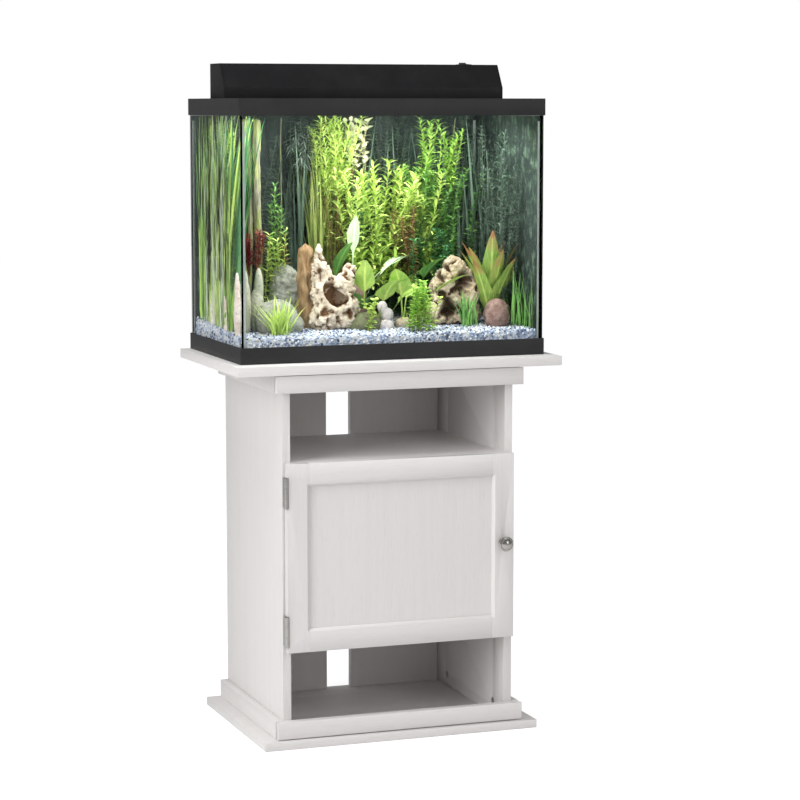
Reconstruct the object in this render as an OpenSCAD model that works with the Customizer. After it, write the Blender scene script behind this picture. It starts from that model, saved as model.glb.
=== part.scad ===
// Aquarium on a board stand with one door, two open bays, a glass canopy and a strip light.
// Millimetres. The origin is the middle of the base panel's underside: +X is to the right,
// +Y is to the back and +Z is up.

/* [Stand boards] */
// Height of the stand from the floor to the top of its top panel
stand_h = 731; // [600:1:900]
// Thickness of the carcass boards
board_t = 16; // [13:0.5:20]
// Outer width across the two side panels
body_w = 468; // [390:1:570]
// Depth of the side panels
body_d = 376; // [310:1:460]
// Distance that the base panel reaches out past each side rail
base_side = 28; // [10:1:60]
// Distance that the base panel reaches out in front of the side panels
base_front = 27; // [22:1:60]
// Distance that the base panel reaches out behind the side panels
base_back = 5; // [0:1:40]
// Thickness of the top panel
top_t = 18; // [15:0.5:25]
// Distance that the top panel reaches out past each side of the tank
top_side = 19; // [5:1:60]
// Distance that it reaches out in front of the tank
top_front = 43.5; // [5:0.5:80]
// Distance that it reaches out behind the tank
top_back = 4.5; // [0:0.5:40]
// Clear height of the open bay above the door, and of the one below it
bay_h = 168; // [120:1:210]
// Width of the open slot between the two back boards
slot_w = 52; // [30:1:90]

/* [Rails] */
// Height of the rails under the top panel and on the base panel
rail_h = 33; // [25:0.5:45]
// Thickness of the side rails
side_rail_t = 16; // [12:0.5:20]
// Thickness of the front rails
front_rail_t = 18; // [15:0.5:22]
// Shadow gap between a front rail and the panel above or below it
rail_gap = 2; // [1:0.25:4]
// Width of the shadow groove cut behind each end of a front rail
groove_w = 10; // [4:0.5:12]
// Length of that groove along the rail
groove_len = 12; // [6:0.5:14]

/* [Door] */
// Distance from each edge of the door to the outer face of the side panel
door_side = 4; // [3.5:0.5:8]
// Thickness of the door frame
door_t = 18; // [15:0.5:22]
// Gap between the back of the door and the side panels
door_gap = 2; // [1.8:0.1:3]
// Distance that the door stays inside the outer faces of the two shelves
door_reveal = 0.5; // [0:0.25:2]
// Width of the door's stiles and rails
stile_w = 44; // [35:0.5:60]
// Width and depth of the bevel round the door panel
bevel = 5; // [3:0.5:7]
// Thickness of the door panel
panel_t = 6; // [4:0.5:7]
// Depth of the groove that holds the door panel
panel_groove = 8; // [5:0.5:10]
// Clearance round the door panel in its groove
panel_clear = 0.2; // [0.1:0.05:0.5]
// Radius of the round knob
knob_r = 14.7; // [12:0.1:18]
// Distance from the door face to the front of the knob
knob_len = 27; // [20:0.5:34]
// Distance from the door's free edge to the middle of the knob
knob_inset = 23; // [16:0.5:28]
// Radius of the knob's screw
knob_screw_r = 2; // [1.5:0.1:2.5]

/* [Hinges and catch] */
// Length of each hinge barrel
hinge_len = 57; // [45:1:75]
// Radius of the hinge barrel
barrel_r = 4.2; // [3.5:0.1:5.1]
// Radius of the hinge pin
pin_r = 1.6; // [1.2:0.1:2]
// Radial clearance of the pin in the moving knuckle
pin_clear = 0.05; // [0.02:0.01:0.1]
// Thickness of the hinge leaves
leaf_t = 1.4; // [1:0.1:1.4]
// Gap between one knuckle and the next, and between the two leaves
knuckle_gap = 0.2; // [0.15:0.05:0.4]
// Distance from the top of the door to the middle of the upper hinge
upper_hinge_drop = 55; // [40:1:80]
// Distance from the bottom of the door to the middle of the lower hinge
lower_hinge_rise = 41; // [38:1:80]
// Length of the magnetic catch
catch_len = 46; // [36:1:56]
// Height and depth of the magnetic catch
catch_size = 13; // [10:0.5:16]

/* [Tank] */
// Outer width of the tank's frames
tank_w = 616; // [510:1:740]
// Outer depth of the tank's frames
tank_d = 354; // [295:1:370]
// Height of the tank from the underside of its bottom frame to the top of its rim
tank_h = 495; // [410:1:600]
// Height of the bottom frame's outer wall
frame_h = 31.5; // [25:0.5:40]
// Height of the top rim's outer wall
rim_h = 32.5; // [25:0.5:40]
// Thickness of the moulded frames' walls
skin_t = 3; // [2:0.25:3.5]
// Thickness of the glass panes
glass_t = 6; // [4:0.5:10]
// Width of the silicone beads in the inside corners
bead_w = 4; // [2:0.5:6]
// Height of the rim's canopy ledge below the top of the rim
ledge_drop = 8; // [6:0.5:10]
// Width of the ledge that carries the canopy
ledge_w = 10; // [8:0.5:14]
// Depth of the gravel at the front glass
gravel_front_h = 30; // [20:1:45]
// Depth of the gravel at the back glass
gravel_back_h = 48; // [30:1:70]

/* [Canopy and light] */
// Thickness of the canopy glass
canopy_t = 4; // [3:0.25:5]
// Gap round the canopy inside the rim
canopy_gap = 2; // [1:0.25:3]
// Gap between each end of the strip light and the inner wall of the rim
light_end_gap = 8; // [4:0.5:40]
// Depth of the strip light
light_d = 93; // [80:1:112]
// Height of the strip light above the canopy glass
light_h = 71; // [60:1:85]
// Height of its upright front lip
lip_h = 25.5; // [18:0.5:34]
// Distance that its front leans back above the lip
lean = 28; // [15:1:40]
// Distance of the light's front in front of the tank's middle
light_front = 8; // [0:0.5:10]
// Wall of the light's housing
light_wall = 2.5; // [2:0.25:3.5]
// Thickness of the light's end caps
cap_t = 4; // [3:0.25:6]
// Width of the rocker switch
rocker_w = 14; // [12:0.5:18]
// Length of the rocker switch, from front to back
rocker_len = 20; // [18:0.5:26]
// Angle that the rocker switch is tilted to each side
rocker_tilt = 9; // [6:0.5:10]

/* [Hidden] */
$fn = 48;
// How far a cut runs past the face that it opens
eps = 1;

// Stand: planes that the boards share
rail_w = body_w + 2 * side_rail_t;
base_w = rail_w + 2 * base_side;
base_d = body_d + base_front + base_back;
body_y0 = -base_d / 2 + base_front;
body_y1 = body_y0 + body_d;
top_w = tank_w + 2 * top_side;
top_d = tank_d + top_front + top_back;
panel_z0 = board_t;
panel_z1 = stand_h - top_t;
inner_w = body_w - 2 * board_t;
shelf_y1 = body_y1 - board_t;
upper_shelf_z = panel_z1 - bay_h - board_t;
lower_shelf_z = panel_z0 + bay_h;
white = [0.90, 0.88, 0.87];
steel = [0.70, 0.69, 0.67];
black = [0.09, 0.09, 0.10];
clear = [0.75, 0.88, 0.85, 0.35];

// Cam fittings: a round lock in one board grips a bolt that stands in the next
cam_r = 7.4;
cam_h = 12;
cam_bolt_r = 3.4;
cam_back = 24;
cam_clear = 0.1;
bolt_bite = 10;
cam_end_gap = 55;
cam_ys = [body_y0 + cam_end_gap, shelf_y1 - cam_end_gap];

// Door and hinges
door_w = body_w - 2 * door_side;
door_z0 = lower_shelf_z + door_reveal;
door_z1 = upper_shelf_z + board_t;
door_y1 = body_y0 - door_gap;
door_y0 = door_y1 - door_t;
open_w = door_w - 2 * stile_w;
open_z0 = door_z0 + stile_w;
open_z1 = door_z1 - stile_w;
panel_setback = 2;
panel_y0 = door_y0 + (door_t - panel_t) / 2 + panel_setback;
knob_rise = 6;
knob_x = door_w / 2 - knob_inset;
knob_z = (door_z0 + door_z1) / 2 + knob_rise;
hinge_x = -door_w / 2 - leaf_t - knuckle_gap - leaf_t / 2;
hinge_set = 0.5;
hinge_y = door_y0 + hinge_set;
hinge_zs = [door_z1 - upper_hinge_drop, door_z0 + lower_hinge_rise];
knuckle_len = (hinge_len - 2 * knuckle_gap) / 3;
notch_clear = 0.8;
notch = barrel_r + notch_clear;
leaf_clear = 0.4;
leaf_short = 2;
leaf_screw_r = 1.5;
leaf_screw_len = 15;
leaf_screw_gap = 36;
catch_bite = 9;
catch_from_knob = 70;
catch_x = knob_x - catch_from_knob;
catch_z1 = upper_shelf_z;
plate_t = 1.5;
plate_screw_len = 11;
knob_bite = 12;

// Tank: its back stands in front of the back edge of the top panel
tank_y = body_y1 - top_back - tank_d / 2;
tank_z0 = stand_h;
tank_z1 = tank_z0 + tank_h;
pane_w = tank_w - 2 * skin_t;
pane_d = tank_d - 2 * skin_t;
in_w = pane_w - 2 * glass_t;
in_d = pane_d - 2 * glass_t;
web_rise = 9;
web_w = 20;
foot_inset = 17;
pane_drop = 11;
skirt_short = 6;
film_t = 0.6;
film_edge = 4;
seam_gap = 0.5;
web_z = tank_z0 + web_rise;
floor_z = web_z + skin_t;
pane_z1 = tank_z1 - pane_drop;
seat_w = in_w - 2 * skin_t;
seat_d = in_d - 2 * skin_t;
ledge_z = tank_z1 - ledge_drop;
gravel_z0 = floor_z + glass_t;
gravel_lift = 0.4;
in_y0 = tank_y - in_d / 2;
in_y1 = tank_y + in_d / 2;

// The planting is laid out for an inside of this size, and shrinks or grows to fit the tank
plan_w = 598;
plan_d = 336;
plan_h = 466;
planting = min(in_w / plan_w, in_d / plan_d, (pane_z1 - gravel_z0) / plan_h);

// Canopy, lid and light
canopy_z = ledge_z;
canopy_w = seat_w - 2 * canopy_gap;
light_w = seat_w - 2 * light_end_gap;
light_y0 = tank_y - light_front;
light_z0 = canopy_z + canopy_t;
lid_axis_gap = 15.5;
axis_y = light_y0 - lid_axis_gap;
axis_z = canopy_z + canopy_t / 2;
strip_w = canopy_w - 2 * ledge_w;
bead_r = 1.5;
clip_r = 2.9;
web_y = 6;
strip_t = 1.6;
grip = 6;
lens_t = 2;
board_h = 1.6;
switch_inset = 60;
rocker_x = light_w / 2 - switch_inset;
rocker_y = light_y0 + light_d / 2 + lean / 2;
rocker_drop = 1;
rocker_z = light_z0 + light_h - rocker_drop;
rocker_pin_r = 1.5;
rocker_pin_short = 0.3;
rocker_foot = 5;
rocker_head = 4.2;
rocker_waist = 2.4;
rocker_clear = 0.6;
switch_wall = 1.7;
switch_depth = 12;
bezel_w = 2;
bezel_t = 1.2;
socket_inset = 40;
socket_x = light_w / 2 - socket_inset;
socket_r = 5.5;
socket_len = 14;
socket_flange = 2;
socket_flange_t = 1.5;
socket_bore_r = 2.8;
socket_bore_len = 9;
handle_w = 64;
handle_d = 16;
handle_inset = 4;
handle_t = 2;
chip_count = 18;
chip_size = 5;
led_board_d = 34;
led_board_rise = 18;
led_board_inset = 30;
lip_setback = 12;
rib_t = 4;
rib_d = 16;

module block(x0, x1, y0, y1, z0, z1) {
    translate([x0, y0, z0]) cube([x1 - x0, y1 - y0, z1 - z0]);
}

// A rod of radius r from a point, along "x", "y" or "z"
module rod(p, r, len, dir) {
    translate(p)
        rotate(dir == "x" ? [0, 90, 0] : dir == "y" ? [-90, 0, 0] : [0, 0, 0])
            cylinder(r = r, h = len);
}

module rounded_rect(w, d, r) {
    square([w - 2 * r, d], center = true);
    square([w, d - 2 * r], center = true);
    for (x = [-1, 1], y = [-1, 1])
        translate([x * (w / 2 - r), y * (d / 2 - r)]) circle(r = r);
}

// A rectangular ring round the tank's middle, from z0 to z1
module ring(w, d, wall, z0, z1, r = 0) {
    translate([0, tank_y, z0]) linear_extrude(z1 - z0) difference() {
        if (r > 0) rounded_rect(w, d, r);
        else square([w, d], center = true);
        square([w - 2 * wall, d - 2 * wall], center = true);
    }
}

// A profile in the Y-Z plane, drawn out along X from x0 to x1
module profile_x(points, x0, x1) {
    translate([x0, 0, 0]) rotate([90, 0, 90]) linear_extrude(x1 - x0) polygon(points);
}

// Shelf ends: the cam sits in the shelf's underside and its bolt in the side panel
module shelf_cams(z, grow) {
    for (side = [-1, 1], y = cam_ys)
        rod([side * (inner_w / 2 - cam_back), y, z - grow], cam_r + grow, cam_h + grow, "z");
}

module shelf_bolts(z, grow) {
    for (side = [-1, 1], y = cam_ys) {
        x = side * inner_w / 2;
        reach = cam_back + bolt_bite;
        x0 = side > 0 ? x - cam_back : x - bolt_bite;
        rod([x0, y, z + cam_h / 2], cam_bolt_r + grow, reach, "x");
    }
}

// Side panel ends: the cam sits in the panel's inner face and its bolt in the top or base
module end_cams(grow) {
    for (side = [-1, 1], y = cam_ys, z = [panel_z0 + cam_back, panel_z1 - cam_back]) {
        x0 = side > 0 ? inner_w / 2 - grow : -inner_w / 2 - cam_h;
        rod([x0, y, z], cam_r + grow, cam_h + grow, "x");
    }
}

module end_bolts(grow) {
    for (side = [-1, 1], y = cam_ys) {
        x = side * (inner_w / 2 + cam_h / 2);
        rod([x, y, panel_z0 - bolt_bite], cam_bolt_r + grow, cam_back + bolt_bite, "z");
        rod([x, y, panel_z1 - cam_back], cam_bolt_r + grow, cam_back + bolt_bite, "z");
    }
}

module all_bolts(grow) {
    shelf_bolts(upper_shelf_z, grow);
    shelf_bolts(lower_shelf_z, grow);
    end_bolts(grow);
}

module all_cams(grow) {
    shelf_cams(upper_shelf_z, grow);
    shelf_cams(lower_shelf_z, grow);
    end_cams(grow);
}

module base_panel() {
    color(white) difference() {
        block(-base_w / 2, base_w / 2, -base_d / 2, base_d / 2, 0, board_t);
        end_bolts(cam_clear);
    }
}

module top_panel() {
    color(white) difference() {
        block(-top_w / 2, top_w / 2, body_y1 - top_d, body_y1, panel_z1, stand_h);
        end_bolts(cam_clear);
    }
}

module side_panel(side) {
    x = side * body_w / 2;
    color(white) difference() {
        block(min(x, x - side * board_t), max(x, x - side * board_t), body_y0, body_y1,
            panel_z0, panel_z1);
        all_bolts(cam_clear);
        end_cams(cam_clear);
        if (side < 0) frame_leaf_screws(cam_clear);
    }
}

module shelf(z) {
    color(white) difference() {
        block(-inner_w / 2, inner_w / 2, body_y0, shelf_y1, z, z + board_t);
        shelf_cams(z, cam_clear);
        shelf_bolts(z, cam_clear);
        if (z == upper_shelf_z) catch_screws(cam_clear);
    }
}

module back_board(side) {
    x0 = side > 0 ? slot_w / 2 : -inner_w / 2;
    color(white) block(x0, x0 + (inner_w - slot_w) / 2, shelf_y1, body_y1, panel_z0, panel_z1);
}

// A front rail lies against the edges of the side panels and side rails, with a shadow groove
// cut behind each of its ends
module front_rail(z) {
    color(white) difference() {
        block(-rail_w / 2, rail_w / 2, body_y0 - front_rail_t, body_y0, z, z + rail_h);
        for (side = [-1, 1]) {
            x = side * (rail_w / 2 - groove_len);
            block(min(x, side * rail_w), max(x, side * rail_w), body_y0 - groove_w,
                body_y0 + eps, z - eps, z + rail_h + eps);
        }
    }
}

module side_rail(side, z) {
    x = side * body_w / 2;
    color(white) block(min(x, x + side * side_rail_t), max(x, x + side * side_rail_t),
        body_y0, body_y1, z, z + rail_h + rail_gap);
}

module cam_locks() {
    color(steel) difference() {
        all_cams(0);
        all_bolts(cam_clear);
    }
}

module cam_bolts() {
    color(steel) all_bolts(0);
}

// Hinge knuckles: the frame leaf has the outer two, and the door leaf the middle one
module knuckle(zc, index) {
    z0 = zc - hinge_len / 2 + index * (knuckle_len + knuckle_gap);
    difference() {
        rod([hinge_x, hinge_y, z0], barrel_r, knuckle_len, "z");
        rod([hinge_x, hinge_y, z0 - eps], pin_r + pin_clear, knuckle_len + 2 * eps, "z");
    }
}

// A leaf plate beside the door's edge, with tabs that reach into its own knuckles
module leaf_plate(zc, x0, y1, indexes) {
    block(x0, x0 + leaf_t, hinge_y + barrel_r + leaf_clear, y1, zc - hinge_len / 2,
        zc + hinge_len / 2);
    for (i = indexes) {
        z0 = zc - hinge_len / 2 + i * (knuckle_len + knuckle_gap);
        block(x0, x0 + leaf_t, hinge_y + pin_r + leaf_clear, y1, z0, z0 + knuckle_len);
    }
}

module hinge_frame_leaves() {
    x0 = -door_w / 2 - 2 * leaf_t - knuckle_gap;
    color(steel) difference() {
        for (zc = hinge_zs) {
            for (i = [0, 2]) knuckle(zc, i);
            leaf_plate(zc, x0, body_y0, [0, 2]);
            block(x0, -body_w / 2 + board_t - leaf_short, body_y0 - leaf_t, body_y0,
                zc - hinge_len / 2, zc + hinge_len / 2);
        }
        frame_leaf_screws(cam_clear);
    }
}

module hinge_door_leaves() {
    color(steel) difference() {
        for (zc = hinge_zs) {
            knuckle(zc, 1);
            leaf_plate(zc, -door_w / 2 - leaf_t, door_y1 - 1, [1]);
        }
        door_leaf_screws(cam_clear);
    }
}

module hinge_pins() {
    color(steel) for (zc = hinge_zs)
        rod([hinge_x, hinge_y, zc - hinge_len / 2], pin_r, hinge_len, "z");
}

module frame_leaf_screws(grow) {
    for (zc = hinge_zs, dz = [-1, 1] * leaf_screw_gap / 2)
        rod([-body_w / 2 + board_t / 2, body_y0 - leaf_t, zc + dz], leaf_screw_r + grow,
            leaf_screw_len + grow, "y");
}

module door_leaf_screws(grow) {
    for (zc = hinge_zs, dz = [-1, 1] * leaf_screw_gap / 2)
        rod([-door_w / 2 - leaf_t, (hinge_y + barrel_r + door_y1) / 2, zc + dz],
            leaf_screw_r + grow, leaf_screw_len + grow, "x");
}

module catch_screws(grow) {
    for (dx = [-1, 1])
        rod([catch_x + dx * catch_len / 3, body_y0 + catch_size / 2, catch_z1 - catch_size],
            leaf_screw_r + grow, catch_size + catch_bite + grow, "z");
}

module frame_screws() {
    color(steel) {
        frame_leaf_screws(0);
        catch_screws(0);
    }
}

module catch_body() {
    color(white) difference() {
        block(catch_x - catch_len / 2, catch_x + catch_len / 2, body_y0,
            body_y0 + catch_size, catch_z1 - catch_size, catch_z1);
        catch_screws(cam_clear);
    }
}

module catch_plate() {
    color(steel) difference() {
        block(catch_x - catch_len / 2 + 2, catch_x + catch_len / 2 - 2, door_y1,
            door_y1 + plate_t, catch_z1 - catch_size + 1, catch_z1 - 1);
        plate_screw(cam_clear);
    }
}

module plate_screw(grow) {
    rod([catch_x, door_y1 + plate_t - plate_screw_len - grow, catch_z1 - catch_size / 2],
        leaf_screw_r + grow, plate_screw_len + 2 * grow, "y");
}

// The bevelled opening in the door frame: two tapered prisms crossed
module door_opening() {
    intersection() {
        translate([0, 0, door_z0 - eps]) linear_extrude(door_z1 - door_z0 + 2 * eps)
            polygon(opening_outline(-open_w / 2, open_w / 2));
        translate([-door_w, 0, 0]) rotate([90, 0, 90]) linear_extrude(2 * door_w)
            polygon([for (p = opening_outline(open_z0, open_z1)) [p[1], p[0]]]);
    }
}

function opening_outline(a, b) = [[a, door_y1 + eps], [b, door_y1 + eps],
    [b, door_y0 + bevel], [b + bevel, door_y0], [b + bevel, door_y0 - eps],
    [a - bevel, door_y0 - eps], [a - bevel, door_y0], [a, door_y0 + bevel]];

module panel_space(grow) {
    edge = panel_groove - panel_clear + grow;
    block(-open_w / 2 - edge, open_w / 2 + edge, panel_y0 - grow, panel_y0 + panel_t + grow,
        open_z0 - edge, open_z1 + edge);
}

module door_part(x0, x1, z0, z1) {
    color(white) difference() {
        block(x0, x1, door_y0, door_y1, z0, z1);
        door_opening();
        panel_space(panel_clear);
        for (zc = hinge_zs)
            block(-door_w, hinge_x + notch, door_y0 - eps, hinge_y + notch,
                zc - hinge_len / 2 - notch_clear, zc + hinge_len / 2 + notch_clear);
        door_leaf_screws(cam_clear);
        plate_screw(cam_clear);
        rod([knob_x, door_y0 - eps, knob_z], knob_screw_r + cam_clear, door_t + 2 * eps, "y");
    }
}

module door_left_stile() {
    door_part(-door_w / 2, -open_w / 2, door_z0, door_z1);
}

module door_right_stile() {
    door_part(open_w / 2, door_w / 2, door_z0, door_z1);
}

module door_top_rail() {
    door_part(-open_w / 2, open_w / 2, open_z1, door_z1);
}

module door_bottom_rail() {
    door_part(-open_w / 2, open_w / 2, door_z0, open_z0);
}

module door_panel() {
    color(white) panel_space(0);
}

// Round knob: a foot, a waisted neck and a rimmed, domed head, turned about its own axis
module door_knob() {
    color(steel) translate([knob_x, door_y0, knob_z]) rotate([90, 0, 0]) difference() {
        rotate_extrude($fn = 64) polygon(knob_outline());
        translate([0, 0, -eps]) cylinder(r = knob_screw_r + pin_clear, h = knob_bite + 2 * eps);
    }
}

function knob_outline() =
    let (rim_z = knob_len - 9, rim_r = 2.5, dome_r = knob_r - 3, neck_r = 0.42 * knob_r)
    concat([[0, 0], [0.62 * knob_r, 0], [0.62 * knob_r, 2], [neck_r, 5], [neck_r, rim_z - 5],
        [knob_r - rim_r, rim_z - rim_r]],
        [for (a = [-60 : 15 : 75]) [knob_r - rim_r + rim_r * cos(a), rim_z + rim_r * sin(a)]],
        [for (a = [0 : 10 : 80])
            [dome_r * cos(a), rim_z + rim_r + (knob_len - rim_z - rim_r) * sin(a)]],
        [[0, knob_len]]);

module door_screws() {
    color(steel) {
        door_leaf_screws(0);
        plate_screw(0);
        rod([knob_x, door_y0 - knob_bite, knob_z], knob_screw_r, door_t + knob_bite, "y");
        rod([knob_x, door_y1, knob_z], knob_screw_r * 2, plate_t, "y");
    }
}

module tank_bottom_frame() {
    color(black) {
        ring(tank_w, tank_d, skin_t, tank_z0, tank_z0 + frame_h, 2.5);
        ring(pane_w + eps, pane_d + eps, web_w, web_z, floor_z);
        ring(pane_w - 2 * foot_inset, pane_d - 2 * foot_inset, skin_t, tank_z0, floor_z);
    }
}

module tank_top_rim() {
    color(black) {
        ring(tank_w, tank_d, skin_t, tank_z1 - rim_h, tank_z1, 2.5);
        ring(pane_w + eps, pane_d + eps, glass_t + skin_t + eps / 2, pane_z1, tank_z1);
        ring(in_w, in_d, skin_t, tank_z1 - rim_h + skirt_short, tank_z1);
        ring(seat_w + eps, seat_d + eps, ledge_w + eps / 2, ledge_z - skin_t, ledge_z);
    }
}

module long_glass(side) {
    y = tank_y + side * pane_d / 2;
    color(clear) block(-pane_w / 2, pane_w / 2, min(y, y - side * glass_t),
        max(y, y - side * glass_t), floor_z + glass_t, pane_z1);
}

module end_glass(side) {
    x = side * pane_w / 2;
    color(clear) block(min(x, x - side * glass_t), max(x, x - side * glass_t), in_y0, in_y1,
        floor_z + glass_t, pane_z1);
}

module bottom_glass() {
    color(clear) block(-pane_w / 2, pane_w / 2, tank_y - pane_d / 2, tank_y + pane_d / 2,
        floor_z, floor_z + glass_t);
}

// Silicone: a three-cornered bead up each inside corner, and one along each lower edge
module silicone_seams() {
    b = bead_w;
    color([0.25, 0.27, 0.26]) {
        for (sx = [-1, 1], sy = [-1, 1])
            translate([sx * in_w / 2, tank_y + sy * in_d / 2, gravel_z0])
                linear_extrude(pane_z1 - rim_h - gravel_z0)
                    polygon([[0, 0], [-sx * b, 0], [0, -sy * b]]);
        for (sy = [-1, 1]) {
            y = tank_y + sy * in_d / 2;
            profile_x([[y, gravel_z0], [y - sy * b, gravel_z0], [y, gravel_z0 + b]],
                -in_w / 2, in_w / 2);
        }
        for (sx = [-1, 1])
            translate([sx * in_w / 2, in_y1, gravel_z0]) rotate([90, 0, 0])
                linear_extrude(in_d) polygon([[0, 0], [-sx * b, 0], [0, b]]);
    }
}

// The printed film covers the back pane and turns the corner over the right pane
module background_film() {
    x = pane_w / 2;
    y = tank_y + pane_d / 2;
    z0 = tank_z0 + frame_h + eps;
    z1 = tank_z1 - rim_h - eps;
    color([0.10, 0.16, 0.13]) {
        block(-x + film_edge, x + film_t, y, y + film_t, z0, z1);
        block(x, x + film_t, tank_y - pane_d / 2 + film_edge, y + film_t, z0, z1);
    }
}

module gravel_bed() {
    bead = bead_w + seam_gap;
    y0 = in_y0 + gravel_lift;
    y1 = in_y1 - gravel_lift;
    color([0.62, 0.66, 0.74]) difference() {
        profile_x([[y0, gravel_z0], [y1, gravel_z0], [y1, gravel_z0 + gravel_back_h],
            [y0, gravel_z0 + gravel_front_h]], -in_w / 2 + gravel_lift, in_w / 2 - gravel_lift);
        for (sx = [-1, 1], y = [in_y0, in_y1])
            block(sx * in_w / 2 - bead, sx * in_w / 2 + bead, y - bead, y + bead,
                gravel_z0 - eps, gravel_z0 + gravel_back_h + eps);
        for (y = [in_y0, in_y1])
            block(-in_w, in_w, y - bead, y + bead, gravel_z0 - eps, gravel_z0 + bead);
        for (sx = [-1, 1])
            block(sx * in_w / 2 - bead, sx * in_w / 2 + bead, in_y0 - eps, in_y1 + eps,
                gravel_z0 - eps, gravel_z0 + bead);
    }
}

// Height of the gravel's surface at a distance y
function gravel_z(y) = gravel_z0 + gravel_front_h
    + (gravel_back_h - gravel_front_h) * (y - in_y0) / (in_y1 - in_y0);

// Each item in the tank stands on the gravel: its place, its radius at the foot and at the
// top, and its height. x and y are measured from the middle of the tank.
module mound(x, y, r0, r1, h) {
    back = tank_y + planting * (y + r0);
    translate([planting * x, tank_y + planting * y, gravel_z(back) + seam_gap])
        cylinder(r1 = planting * r0, r2 = planting * r1, h = planting * h);
}

module left_rock() {
    color([0.78, 0.72, 0.62]) mound(-86, -62, 42, 20, 150);
}

module right_rock() {
    color([0.72, 0.64, 0.52]) mound(172, -36, 48, 32, 128);
}

module round_stones() {
    color([0.55, 0.53, 0.48]) {
        mound(-255, -18, 16, 8, 110);
        mound(-204, -68, 36, 22, 55);
        mound(243, -96, 24, 16, 48);
        mound(14, -84, 17, 10, 40);
    }
}

module driftwood() {
    color([0.50, 0.36, 0.24]) {
        mound(-133, 10, 20, 14, 140);
        mound(-221, 58, 16, 16, 340);
    }
}

module tall_stem_plants() {
    color([0.35, 0.50, 0.22]) {
        mound(-274, -98, 20, 22, 350);
        mound(-270, 72, 24, 26, 350);
        mound(-165, 92, 24, 40, 300);
        mound(268, 2, 12, 20, 350);
        mound(258, 112, 30, 38, 350);
    }
}

module bushy_plants() {
    color([0.45, 0.62, 0.25]) {
        mound(-60, 82, 26, 48, 360);
        mound(45, 74, 36, 44, 290);
        mound(170, 92, 42, 50, 340);
    }
}

module sword_plant() {
    color([0.42, 0.58, 0.24]) mound(252, -62, 4, 38, 150);
}

module foreground_plants() {
    color([0.50, 0.70, 0.28]) {
        mound(-216, -130, 14, 24, 72);
        mound(64, -126, 16, 30, 84);
        mound(104, 22, 20, 30, 110);
        mound(-10, -18, 20, 26, 130);
    }
}

module canopy_rear_glass() {
    color(clear) block(-canopy_w / 2, canopy_w / 2, axis_y + web_y + strip_t,
        tank_y + seat_d / 2 - canopy_gap, canopy_z, canopy_z + canopy_t);
}

module lid_glass() {
    color(clear) block(-canopy_w / 2, canopy_w / 2, tank_y - seat_d / 2 + canopy_gap,
        axis_y - web_y - strip_t, canopy_z, canopy_z + canopy_t);
}

// A channel that grips the edge of a pane; side is +1 behind the axis and -1 before it
module grip_channel(side) {
    a = axis_y + side * web_y;
    b = axis_y + side * (web_y + strip_t);
    c = axis_y + side * (web_y + strip_t + grip);
    z0 = canopy_z - strip_t;
    z1 = canopy_z + canopy_t + strip_t;
    block(-strip_w / 2, strip_w / 2, min(a, b), max(a, b), z0, z1);
    block(-strip_w / 2, strip_w / 2, min(a, c), max(a, c), z0, canopy_z);
    block(-strip_w / 2, strip_w / 2, min(a, c), max(a, c), canopy_z + canopy_t, z1);
}

module canopy_hinge_strip() {
    color(black) {
        grip_channel(1);
        block(-strip_w / 2, strip_w / 2, axis_y + bead_r / 2, axis_y + web_y + eps / 2,
            axis_z - 0.5, axis_z + 0.5);
        rod([-strip_w / 2, axis_y, axis_z], bead_r, strip_w, "x");
    }
}

// The clip turns on the rear strip's bead and is open where the bead's neck passes
module lid_hinge_strip() {
    mouth = [[0, 0], [9, -5.5], [9, 9], [-3.4, 9]];
    color(black) {
        grip_channel(-1);
        block(-strip_w / 2, strip_w / 2, axis_y - web_y - eps / 2, axis_y - clip_r + 0.5,
            axis_z - 0.6, axis_z + 0.6);
        difference() {
            rod([-strip_w / 2, axis_y, axis_z], clip_r, strip_w, "x");
            rod([-strip_w / 2 - eps, axis_y, axis_z], bead_r + 0.06, strip_w + 2 * eps, "x");
            translate([0, axis_y, axis_z])
                profile_x(mouth, -strip_w / 2 - eps, strip_w / 2 + eps);
        }
    }
}

module lid_handle() {
    y0 = tank_y - seat_d / 2 + canopy_gap;
    z = canopy_z + canopy_t;
    color(black) {
        block(-handle_w / 2, handle_w / 2, y0 + handle_inset, y0 + handle_inset + handle_d, z,
            z + handle_t);
        block(-handle_w / 2, handle_w / 2, y0 + handle_inset, y0 + 2 * handle_inset,
            z + handle_t / 2, z + 2 * handle_t);
    }
}

// Outline of the light in the Y-Z plane, with an even wall of thickness d taken off it
function light_outline(d) =
    let (rise = light_h - lip_h, slope = norm([lean, rise]),
        foot = light_z0 - (d > 0 ? eps : 0), back = light_y0 + light_d - d,
        roof = light_z0 + light_h - d)
    [[light_y0 + d, foot], [back, foot], [back, roof],
    [light_y0 + lean + d * (slope - lean) / rise, roof],
    [light_y0 + d, light_z0 + lip_h - d * (slope - rise) / lean]];

module light_housing() {
    end = light_w / 2 - cap_t;
    color(black) difference() {
        profile_x(light_outline(0), -end, end);
        profile_x(light_outline(light_wall), -end - eps, end + eps);
        switch_well(cam_clear, switch_wall);
        rod([socket_x, light_y0 + light_d - light_wall - eps, light_z0 + light_h / 2],
            socket_r, light_wall + 2 * eps, "y");
    }
}

// The rectangular well that the rocker sits in, with a wall round it
module switch_well(grow, wall) {
    w = rocker_w / 2 + rocker_clear + wall + grow;
    l = rocker_len / 2 + rocker_clear + wall + grow;
    top = light_z0 + light_h;
    block(rocker_x - w, rocker_x + w, rocker_y - l, rocker_y + l, top - switch_depth - wall,
        top + bezel_t + (wall > 0 && grow == 0 ? 0 : eps));
}

module light_cap(side) {
    x = side * light_w / 2;
    color(black) profile_x(light_outline(0), min(x, x - side * cap_t),
        max(x, x - side * cap_t));
}

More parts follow.
